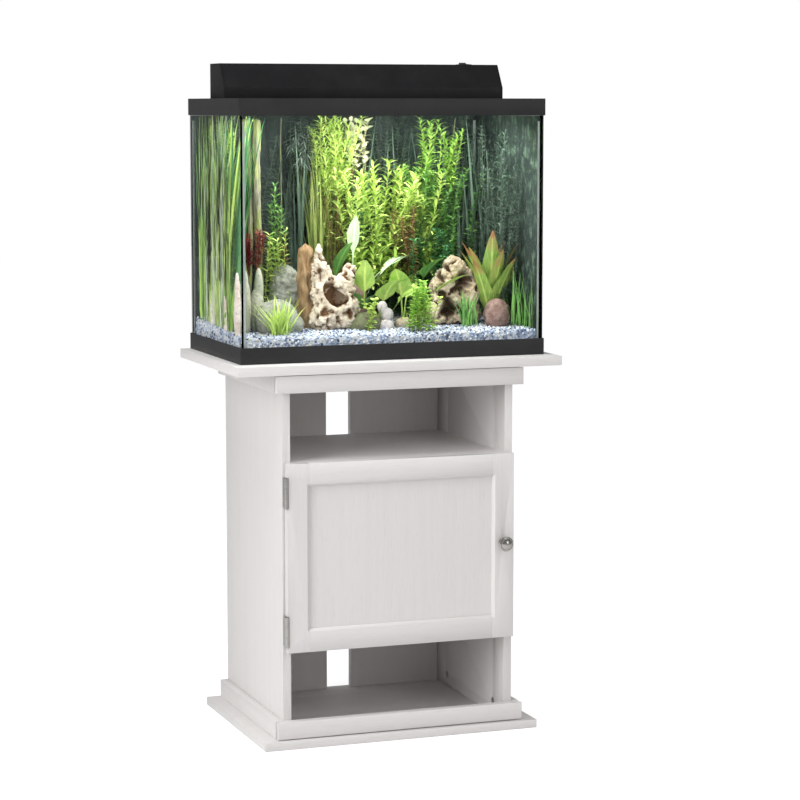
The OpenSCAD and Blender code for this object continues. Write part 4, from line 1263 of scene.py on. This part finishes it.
def make_leafy_stems():
    tree, ins, outs = new_group("leafy_stems", "GeometryNodeTree",
        [("Lines", "Geometry", None), ("Leaf", "Object", None), ("Spacing", "Float", 0.008),
         ("Whorl", "Int", 3), ("Tilt", "Float", 1.0), ("Tilt Spread", "Float", 0.25),
         ("Leaf Size", "Float", 1.0), ("Top Size", "Float", 0.6), ("Bare", "Float", 0.0),
         ("Stem Radius", "Float", 0.0008), ("Seed", "Int", 1), ("Finish", "Material", None)],
        [("Geometry", "Geometry", None)])
    line = add(tree, "GeometryNodeMeshToCurve", {"Mesh": ins["Lines"]})
    even = add(tree, "GeometryNodeResampleCurve", {"Curve": line.outputs[0],
        "Length": ins["Spacing"]}, mode="LENGTH")
    share = tree.nodes.new("GeometryNodeSplineParameter").outputs["Factor"]
    marked = add(tree, "GeometryNodeStoreNamedAttribute", {"Geometry": even.outputs[0],
        "Name": "along", "Value": share}, data_type="FLOAT", domain="POINT")
    points = add(tree, "GeometryNodeCurveToPoints", {"Curve": marked.outputs[0]},
        mode="EVALUATED")
    whorls = add(tree, "GeometryNodeDuplicateElements", {"Geometry": points.outputs["Points"],
        "Amount": ins["Whorl"]}, domain="POINT")
    along = add(tree, "GeometryNodeInputNamedAttribute", {"Name": "along"},
        data_type="FLOAT").outputs["Attribute"]
    index = tree.nodes.new("GeometryNodeInputIndex").outputs[0]
    chance = [seeded(tree, ins, -1.0, 1.0, step) for step in range(4)]
    tilt = plus(tree, ins["Tilt"], times(tree, chance[0], ins["Tilt Spread"]))
    # Leaves stand up more the higher they are, and each whorl turns by the golden angle.
    upward = math_node(tree, "SUBTRACT", 1.15, times(tree, along, 0.45))
    turn = plus(tree, times(tree, index, GOLDEN_TURN), times(tree, chance[1], 0.4))
    rotation = add(tree, "ShaderNodeCombineXYZ", {0: times(tree, tilt, upward),
        1: times(tree, chance[3], 0.3), 2: turn})
    # Leaves get smaller towards the tip, and no two are quite the same size.
    narrowing = mapped(tree, along, (0.3, 1.0), (1.0, ins["Top Size"]))
    jitter = plus(tree, 1.0, times(tree, chance[2], 0.22))
    size = times(tree, ins["Leaf Size"], times(tree, narrowing, jitter))
    leaf = add(tree, "GeometryNodeObjectInfo", {"Object": ins["Leaf"]})
    leafy = math_node(tree, "GREATER_THAN", along, ins["Bare"])
    leaves = add(tree, "GeometryNodeInstanceOnPoints", {"Points": whorls.outputs["Geometry"],
        "Selection": leafy, "Instance": leaf.outputs["Geometry"],
        "Rotation": rotation.outputs[0], "Scale": size})
    ring = add(tree, "GeometryNodeCurvePrimitiveCircle", {"Resolution": 5,
        "Radius": ins["Stem Radius"]}, mode="RADIUS")
    stem = add(tree, "GeometryNodeCurveToMesh", {"Curve": marked.outputs[0],
        "Profile Curve": ring.outputs[0], "Fill Caps": True})
    stem_marked = add(tree, "GeometryNodeStoreNamedAttribute", {"Geometry": stem.outputs[0],
        "Name": "shade", "Value": -1.0}, data_type="FLOAT", domain="POINT")
    shaded_and_placed(tree, ins, outs, leaves.outputs[0], 9, [stem_marked.outputs[0]])
    return tree

# %% Geometry Nodes: blades from a foot
def make_tufts():
    tree, ins, outs = new_group("tufts", "GeometryNodeTree",
        [("Feet", "Geometry", None), ("Leaf", "Object", None), ("Count", "Int", 12),
         ("Spread", "Float", 0.008), ("Tilt", "Float", 0.6), ("Smallest", "Float", 0.5),
         ("Largest", "Float", 1.0), ("Seed", "Int", 1), ("Finish", "Material", None)],
        [("Geometry", "Geometry", None)])
    feet = add(tree, "GeometryNodeMeshToPoints", {"Mesh": ins["Feet"]})
    many = add(tree, "GeometryNodeDuplicateElements", {"Geometry": feet.outputs[0],
        "Amount": ins["Count"]}, domain="POINT")
    chance = [seeded(tree, ins, -1.0, 1.0, step) for step in range(4)]
    aside = add(tree, "ShaderNodeCombineXYZ", {
        0: times(tree, chance[0], ins["Spread"]),
        1: times(tree, chance[1], ins["Spread"])})
    moved = add(tree, "GeometryNodeSetPosition", {"Geometry": many.outputs["Geometry"],
        "Offset": aside.outputs[0]})
    rotation = add(tree, "ShaderNodeCombineXYZ", {
        0: times(tree, math_node(tree, "ABSOLUTE", chance[2]), ins["Tilt"]),
        2: times(tree, chance[3], math.pi)})
    size = seeded(tree, ins, ins["Smallest"], ins["Largest"], 7)
    leaf = add(tree, "GeometryNodeObjectInfo", {"Object": ins["Leaf"]})
    blades = add(tree, "GeometryNodeInstanceOnPoints", {"Points": moved.outputs[0],
        "Instance": leaf.outputs["Geometry"], "Rotation": rotation.outputs[0], "Scale": size})
    shaded_and_placed(tree, ins, outs, blades.outputs[0], 9)
    return tree


leafy_stems = make_leafy_stems()
tufts = make_tufts()

# %% Leaf finishes
def make_leaf_finish(name, young, old, stem=(0.16, 0.20, 0.05), tip=None, side_veins=7.0,
        gloss=0.42):
    """Young and old are the two colours that the plant's leaves range between."""
    material, tree, shader, place = finish(name, gloss, specular=0.35)
    uv = add(tree, "ShaderNodeUVMap", uv_map="UVMap").outputs["UV"]
    marks = use_group(tree, leaf_veins, UV=uv, Side_Veins=side_veins)
    shade = add(tree, "ShaderNodeAttribute", attribute_name="shade").outputs["Fac"]
    patch = noise_mask(tree, place, 45.0, 3.0, 0.6, 0.35, 0.65)
    age = times(tree, plus(tree, shade, patch), 0.5)
    base = blend_colour(tree, age, old, young)
    pale = [min(1.0, c * 1.45 + 0.03) for c in young]
    ribbed = blend_colour(tree, times(tree, marks["Midrib"], 0.55), base, pale)
    veined = blend_colour(tree, times(tree, marks["Veins"], 0.35), ribbed, pale)
    if tip:
        height = add(tree, "ShaderNodeSeparateXYZ", {0: uv}).outputs["Y"]
        uneven = plus(tree, height, times(tree, patch, 0.25))
        veined = blend_colour(tree, mapped(tree, uneven, (0.80, 1.1)), veined, tip)
    is_stem = math_node(tree, "LESS_THAN", shade, -0.5)
    wire(tree, blend_colour(tree, is_stem, veined, stem), shader.inputs["Base Color"])
    bump(tree, shader, marks["Height"], 0.25, 0.0004)
    return material


LEAF_FINISH = {name: make_leaf_finish(name + "_leaf_finish", *rest) for name, *rest in [
    ("lime", (0.62, 0.80, 0.20), (0.30, 0.50, 0.10), (0.35, 0.40, 0.10)),
    ("bright", (0.50, 0.78, 0.16), (0.16, 0.40, 0.05), (0.25, 0.34, 0.08)),
    ("mid", (0.24, 0.50, 0.12), (0.07, 0.22, 0.05), (0.14, 0.22, 0.06)),
    ("deep", (0.10, 0.30, 0.10), (0.03, 0.12, 0.05), (0.07, 0.14, 0.05)),
    ("olive", (0.36, 0.42, 0.12), (0.14, 0.20, 0.05), (0.22, 0.20, 0.07)),
    ("brown", (0.42, 0.27, 0.12), (0.20, 0.12, 0.05), (0.22, 0.13, 0.06)),
    ("dim", (0.13, 0.20, 0.14), (0.045, 0.08, 0.06), (0.08, 0.11, 0.08)),
    ("grey", (0.26, 0.32, 0.26), (0.10, 0.14, 0.12), (0.12, 0.16, 0.13)),
    ("cream", (0.85, 0.82, 0.60), (0.62, 0.66, 0.40), (0.45, 0.45, 0.22)),
    ("white", (0.62, 0.68, 0.56), (0.44, 0.58, 0.34), (0.40, 0.52, 0.28)),
    ("red", (0.30, 0.035, 0.035), (0.12, 0.015, 0.018), (0.16, 0.03, 0.03)),
    ("sword", (0.40, 0.50, 0.12), (0.18, 0.30, 0.06), (0.20, 0.28, 0.07), (0.30, 0.15, 0.06)),
]}
print("leaf finishes:", len(LEAF_FINISH))

# %% [markdown]
# The helpers below turn a short list of places into a piece. Stems need lines to grow up, tufts
# need points to stand on, and each helper has its own random seed, so that a plant stays the same
# when its neighbours change.

# %% Helpers that plant things
PANE_GAP = 3.5 * MM
FLOOR_GAP = 2 * MM
ABOVE_FILM = 4 * MM
STEM_STEPS = 10
water_top = film_high.z + ABOVE_FILM


def inside_glass(mesh):
    """Leaves that reach the panes lie against them, as real ones do."""
    for vertex in mesh.vertices:
        vertex.co.x = min(max(vertex.co.x, bed_low.x + PANE_GAP), bed_high.x - PANE_GAP)
        vertex.co.y = min(max(vertex.co.y, bed_low.y + PANE_GAP), bed_high.y - PANE_GAP)
        vertex.co.z = min(max(vertex.co.z, floor_top + FLOOR_GAP), water_top)
    return mesh


def stem_lines(name, stands, seed):
    """Wandering lines for the leafy stems. A stand is (x, y, foot, top, count, reach)."""
    dice = random.Random(seed)
    shape = bmesh.new()
    for x, y, foot, top, count, reach in stands:
        for _ in range(count):
            start = in_tank(x + dice.uniform(-0.5, 0.5) * reach,
                y + dice.uniform(-0.4, 0.4) * reach, foot)
            tall = (top - foot) * dice.uniform(0.74, 1.0) * MM
            lean = [dice.uniform(-0.5, 0.5) * reach * MM for _ in range(2)]
            phase = dice.uniform(0.0, 6.0)
            last = None
            for i in range(STEM_STEPS + 1):
                t = i / STEM_STEPS
                sway = 0.05 * reach * MM * math.sin(4.5 * t + phase)
                spot = shape.verts.new(start + Vector((lean[0] * t ** 1.5 + sway,
                    lean[1] * t ** 1.5 - sway, tall * t)))
                if last:
                    shape.edges.new((last, spot))
                last = spot
    return mesh_from(shape, name)


def plant_stems(name, slot, leaf, colour, stands, seed, replaces=(), **sizes):
    mesh = inside_glass(grown(name, stem_lines(name + "_lines", stands, seed), leafy_stems,
        Leaf=LEAVES[leaf], Seed=seed, Finish=LEAF_FINISH[colour], **sizes))
    new_piece(name, mesh, replaces=replaces)
    return len(mesh.polygons)


def plant_tufts(name, slot, leaf, colour, feet, seed, replaces=(), **sizes):
    """feet are (x, y, height over the gravel)."""
    mesh = bpy.data.meshes.new(name + "_feet")
    mesh.from_pydata([in_tank(*foot) for foot in feet], [], [])
    made = inside_glass(grown(name, mesh, tufts, Leaf=LEAVES[leaf], Seed=seed,
        Finish=LEAF_FINISH[colour], **sizes))
    new_piece(name, made, replaces=replaces)
    return len(made.polygons)


def scattered(count, x0, x1, y0, y1, seed, height=-3.0):
    dice = random.Random(seed)
    return [(dice.uniform(x0, x1), dice.uniform(y0, y1), height) for _ in range(count)]


BROAD_LEAF = dict(rows=12, stalk=0.25, fold=0.25, arch=0.9, outline=0.8, wave=0.12)


def plant_broad(name, colour, leaves, replaces=()):
    """Broad leaves, each (foot, turn, tilt, length, width) and the leaf's own settings."""
    shape = bmesh.new()
    uv_layer = shape.loops.layers.uv.new("UVMap")
    for foot, turn, tilt, length, width, settings in leaves:
        seat = Matrix.Translation(in_tank(*foot)) @ Euler((tilt, 0.0, turn)).to_matrix().to_4x4()
        add_leaf(shape, uv_layer, seat, length * MM, width * MM, **{**BROAD_LEAF, **settings})
    mesh = mesh_from(shape, name)
    mesh.materials.append(LEAF_FINISH[colour])
    new_piece(name, inside_glass(mesh), replaces=replaces)
    return len(mesh.polygons)

# %% [markdown]
# ### Planting
#
# The tank is planted from the back forwards: dim plants against the background film, then the
# tall bushes, then the rocks' neighbours, and last the bright low plants on the front gravel.
# Every place is in millimetres from the tank's middle, with heights over the gravel.

# %% Dim plants at the back
faces = 0
faces += plant_stems("back_row_left", "stem_leaf", "needle", "dim", [
    (-250, 148, 0, 385, 6, 60), (-150, 150, 0, 380, 8, 90), (-90, 152, 0, 390, 8, 80)], 21,
    Spacing=9 * MM, Whorl=5, Tilt=1.0, Leaf_Size=1.2, Top_Size=0.8)
faces += plant_stems("back_row_middle", "stem_leaf", "fine", "dim", [
    (20, 152, 0, 385, 8, 70), (90, 154, 0, 390, 8, 70)], 22,
    Spacing=7 * MM, Whorl=5, Tilt=1.0, Leaf_Size=1.2, Top_Size=0.8)
faces += plant_stems("back_row_right", "stem_leaf", "oval", "grey", [
    (214, 140, 100, 390, 7, 70), (250, 130, 60, 390, 9, 70), (278, 90, 40, 385, 8, 40)], 23,
    Spacing=11 * MM, Whorl=3, Tilt=1.1, Tilt_Spread=0.5, Leaf_Size=0.7, Top_Size=0.7)
faces += plant_stems("right_pane_row", "stem_leaf", "fine", "dim", [
    (287, -60, 0, 385, 8, 60), (287, 0, 0, 390, 8, 60), (286, 60, 0, 390, 8, 60)], 28,
    Spacing=8 * MM, Whorl=4, Tilt=0.9, Tilt_Spread=0.5, Leaf_Size=1.0, Top_Size=0.8)
faces += plant_tufts("back_ribbons_right", "stem_leaf", "ribbon", "dim",
    scattered(30, 215, 292, 60, 150, 5), 24, Count=3, Spread=9 * MM, Tilt=0.08, Smallest=2.4,
    Largest=4.1)
faces += plant_tufts("back_ribbons_middle", "stem_leaf", "ribbon", "dim",
    scattered(40, -120, 190, 130, 158, 6), 25, Count=3, Spread=9 * MM, Tilt=0.10, Smallest=2.6,
    Largest=4.1)
faces += plant_stems("pale_needle_sprays", "stem_leaf", "needle", "grey", [
    (-112, 120, 300, 392, 3, 60), (-96, 118, 330, 392, 3, 50)], 26,
    Spacing=5 * MM, Whorl=3, Tilt=1.5, Leaf_Size=1.5, Top_Size=1.0)
print("dim plants:", faces)

# %% The tall growth along the left pane
faces = 0
faces += plant_tufts("left_pane_ribbons_deep", "stem_leaf", "ribbon", "deep",
    scattered(30, -284, -276, -84, 160, 7), 31, Count=3, Spread=5 * MM, Tilt=0.03,
    Smallest=3.4, Largest=4.4)
faces += plant_tufts("left_pane_ribbons_bright", "stem_leaf", "ribbon", "bright",
    scattered(34, -294, -284, -96, 150, 8), 32, Count=3, Spread=5 * MM, Tilt=0.04,
    Smallest=1.8, Largest=4.5)
faces += plant_tufts("left_pane_ribbons_lime", "stem_leaf", "ribbon", "lime",
    scattered(26, -296, -286, -60, 90, 9), 33, Count=4, Spread=5 * MM, Tilt=0.04,
    Smallest=1.4, Largest=4.5)
faces += plant_tufts("left_pane_ribbons_pale", "stem_leaf", "ribbon", "white",
    scattered(20, -296, -288, -20, 100, 10), 34, Count=3, Spread=5 * MM, Tilt=0.04,
    Smallest=1.0, Largest=4.6)
faces += plant_stems("left_pane_fine_stems", "stem_leaf", "fine", "bright", [
    (-282, -10, 0, 390, 5, 26), (-282, 60, 0, 385, 5, 26), (-283, -60, 0, 330, 4, 24)], 35,
    Spacing=7 * MM, Whorl=4, Tilt=0.8, Leaf_Size=1.0, Top_Size=0.8,
    replaces=["tall_stem_plants"])
print("left pane plants:", faces)

# %% The bushes behind the rocks
faces = 0
faces += plant_stems("green_stem_plant", "stem_leaf", "lance", "mid", [
    (-176, 44, 0, 285, 4, 36)], 41, Spacing=11 * MM, Whorl=3, Tilt=0.8, Leaf_Size=0.55,
    Top_Size=0.8)
faces += plant_stems("pale_stem_plant", "stem_leaf", "lance", "lime", [
    (-178, 30, 0, 190, 4, 40), (-196, 20, 30, 170, 3, 30)], 42, Spacing=10 * MM, Whorl=3,
    Tilt=0.9, Leaf_Size=0.5, Top_Size=0.8)
faces += plant_stems("red_plant", "stem_leaf", "fine", "red", [
    (-240, -18, 100, 186, 9, 34)], 43, Spacing=5 * MM, Whorl=6, Tilt=0.9, Leaf_Size=0.9,
    Top_Size=0.9, Bare=0.25)
faces += plant_stems("dark_red_plant", "stem_leaf", "oval", "brown", [
    (-130, 90, 60, 175, 4, 50)], 44, Spacing=8 * MM, Whorl=4, Tilt=1.0, Leaf_Size=0.6)
faces += plant_tufts("vertical_grass", "bush_leaf", "ribbon", "olive",
    scattered(24, -76, -36, 76, 108, 11), 45, Count=4, Spread=8 * MM, Tilt=0.07,
    Smallest=1.8, Largest=3.4)
faces += plant_tufts("vertical_grass_bright", "bush_leaf", "ribbon", "lime",
    scattered(12, -76, -36, 70, 100, 12), 46, Count=3, Spread=8 * MM, Tilt=0.08,
    Smallest=1.4, Largest=2.9)
faces += plant_stems("feathery_brown_plant", "bush_leaf", "needle", "brown", [
    (-28, 58, 40, 300, 7, 44)], 47, Spacing=6 * MM, Whorl=6, Tilt=1.0, Leaf_Size=0.8,
    Top_Size=0.9)
faces += plant_stems("fine_green_crown", "bush_leaf", "fine", "lime", [
    (-36, 62, 245, 398, 16, 56), (-50, 70, 140, 330, 6, 40)], 48, Spacing=6.5 * MM, Whorl=4,
    Tilt=0.9, Tilt_Spread=0.6, Leaf_Size=1.15, Top_Size=1.0, replaces=["bushy_plants"])
faces += plant_stems("cream_flowers", "bush_leaf", "round", "cream", [
    (12, 84, 290, 396, 8, 40)], 49, Spacing=14 * MM, Whorl=3, Tilt=0.9, Tilt_Spread=0.8,
    Leaf_Size=0.85, Top_Size=1.1)
faces += plant_stems("lime_bush_left", "bush_leaf", "lance", "lime", [
    (26, 40, 60, 312, 15, 84)], 50, Spacing=7 * MM, Whorl=3, Tilt=0.85, Tilt_Spread=0.6,
    Leaf_Size=0.72, Top_Size=0.85)
faces += plant_stems("lime_bush_right", "bush_leaf", "lance", "lime", [
    (104, 50, 80, 284, 15, 104)], 51, Spacing=7 * MM, Whorl=3, Tilt=0.85, Tilt_Spread=0.6,
    Leaf_Size=0.72, Top_Size=0.85)
faces += plant_stems("brown_middle_plant", "bush_leaf", "oval", "brown", [
    (90, 26, 90, 222, 9, 40)], 52, Spacing=6 * MM, Whorl=5, Tilt=1.0, Leaf_Size=0.6,
    Top_Size=0.8)
faces += plant_stems("dark_green_bush", "bush_leaf", "oval", "mid", [
    (150, 80, 60, 300, 14, 80), (206, 84, 60, 300, 14, 90)], 53, Spacing=7 * MM, Whorl=4,
    Tilt=0.95, Tilt_Spread=0.5, Leaf_Size=0.78, Top_Size=0.85)
faces += plant_stems("dark_green_filler", "bush_leaf", "oval", "deep", [
    (60, 80, 0, 220, 12, 110), (150, 60, 0, 180, 12, 110), (-90, 60, 0, 120, 8, 80)], 54,
    Spacing=8 * MM, Whorl=4, Tilt=1.0, Leaf_Size=0.8, Top_Size=0.9)
faces += plant_stems("bright_sprig", "bush_leaf", "lance", "bright", [
    (170, 78, 250, 398, 6, 44), (206, 82, 250, 372, 6, 44)], 55, Spacing=8 * MM, Whorl=3,
    Tilt=0.9, Tilt_Spread=0.5, Leaf_Size=0.6, Top_Size=0.8)
print("bushes:", faces)

# %% Broad leaves
faces = 0
sword_leaves = []
for turn, tilt, length, width in [(-0.3, 0.05, 192, 42), (0.9, 0.16, 170, 38),
        (-1.5, 0.20, 176, 38), (2.2, 0.12, 168, 36), (3.6, 0.20, 160, 38), (0.4, 0.30, 150, 36),
        (-0.9, 0.32, 150, 34), (4.6, 0.24, 160, 36), (1.7, 0.34, 140, 32), (0.1, 0.16, 158, 36)]:
    sword_leaves.append(((246, -52, -2), turn, tilt, length, width,
        dict(arch=0.35, outline=0.7, stalk=0.12)))
faces += plant_broad("sword_plant_leaves", "sword", sword_leaves,
    replaces=["sword_plant"])
arrow = dict(outline=0.45, stalk=0.42, arch=1.1, wave=0.05)
faces += plant_broad("arrow_leaves", "lime", [
    ((18, -34, 0), 0.2, 0.10, 122, 44, arrow), ((66, -34, 0), -0.5, 0.12, 152, 46, arrow),
    ((-14, -34, 0), -0.3, 0.05, 168, 40, arrow),
    ((36, -30, 0), 1.4, 0.25, 110, 36, arrow), ((72, -24, 0), 2.5, 0.15, 128, 38, arrow),
    ((-2, -30, 0), 0.9, 0.2, 132, 40, arrow), ((126, -20, 0), 0.7, 0.2, 140, 40, arrow)])
faces += plant_broad("pale_broad_leaves", "white", [
    ((-30, -12, 0), 0.2, -0.06, 214, 30, dict(outline=0.8, stalk=0.66, arch=0.25)),
    ((-22, -14, 0), 1.75, 0.06, 206, 34, dict(outline=0.7, stalk=0.62, arch=1.5)),
    ((-14, -14, 0), 1.35, 0.02, 176, 30, dict(outline=0.7, stalk=0.62, arch=1.2))])
faces += plant_broad("green_shield_leaves", "mid", [
    ((-20, -26, 0), -0.6, 0.3, 96, 30, {}), ((-30, -20, 0), 1.0, 0.35, 110, 30, {}),
    ((112, 10, 40), 0.5, 0.15, 120, 36, arrow), ((-60, 20, 60), 0.2, 0.2, 130, 26, {})])
print("broad leaves:", faces)

# %% Low plants in front
faces = 0
faces += plant_tufts("front_grass_left", "foreground_leaf", "blade", "lime",
    scattered(7, -226, -196, -126, -106, 13), 61, Count=14, Spread=12 * MM, Tilt=0.6,
    Smallest=0.35, Largest=0.85, replaces=["foreground_plants"])
faces += plant_stems("front_leaf_plant", "foreground_leaf", "oval", "bright", [
    (66, -124, -3, 92, 8, 44)], 62, Spacing=6 * MM, Whorl=4, Tilt=0.95, Leaf_Size=0.75,
    Top_Size=0.9)
faces += plant_stems("front_leaf_plant_low", "foreground_leaf", "round", "lime", [
    (84, -122, -3, 60, 5, 36), (-20, -100, -3, 56, 4, 30)], 63, Spacing=8 * MM, Whorl=3,
    Tilt=1.0, Leaf_Size=0.7, Top_Size=0.9)
faces += plant_tufts("rock_grass_right", "foreground_leaf", "blade", "mid",
    scattered(5, 172, 202, -98, -84, 14), 64, Count=9, Spread=8 * MM, Tilt=0.5,
    Smallest=0.4, Largest=0.8)
faces += plant_tufts("corner_grass_right", "foreground_leaf", "ribbon", "mid",
    scattered(8, 274, 290, -140, 20, 15), 65, Count=7, Spread=8 * MM, Tilt=0.25,
    Smallest=0.6, Largest=1.3)
faces += plant_tufts("low_tufts", "foreground_leaf", "blade", "olive",
    scattered(10, -60, 120, -80, -30, 16), 66, Count=6, Spread=10 * MM, Tilt=0.9,
    Smallest=0.3, Largest=0.6)
print("front plants:", faces)
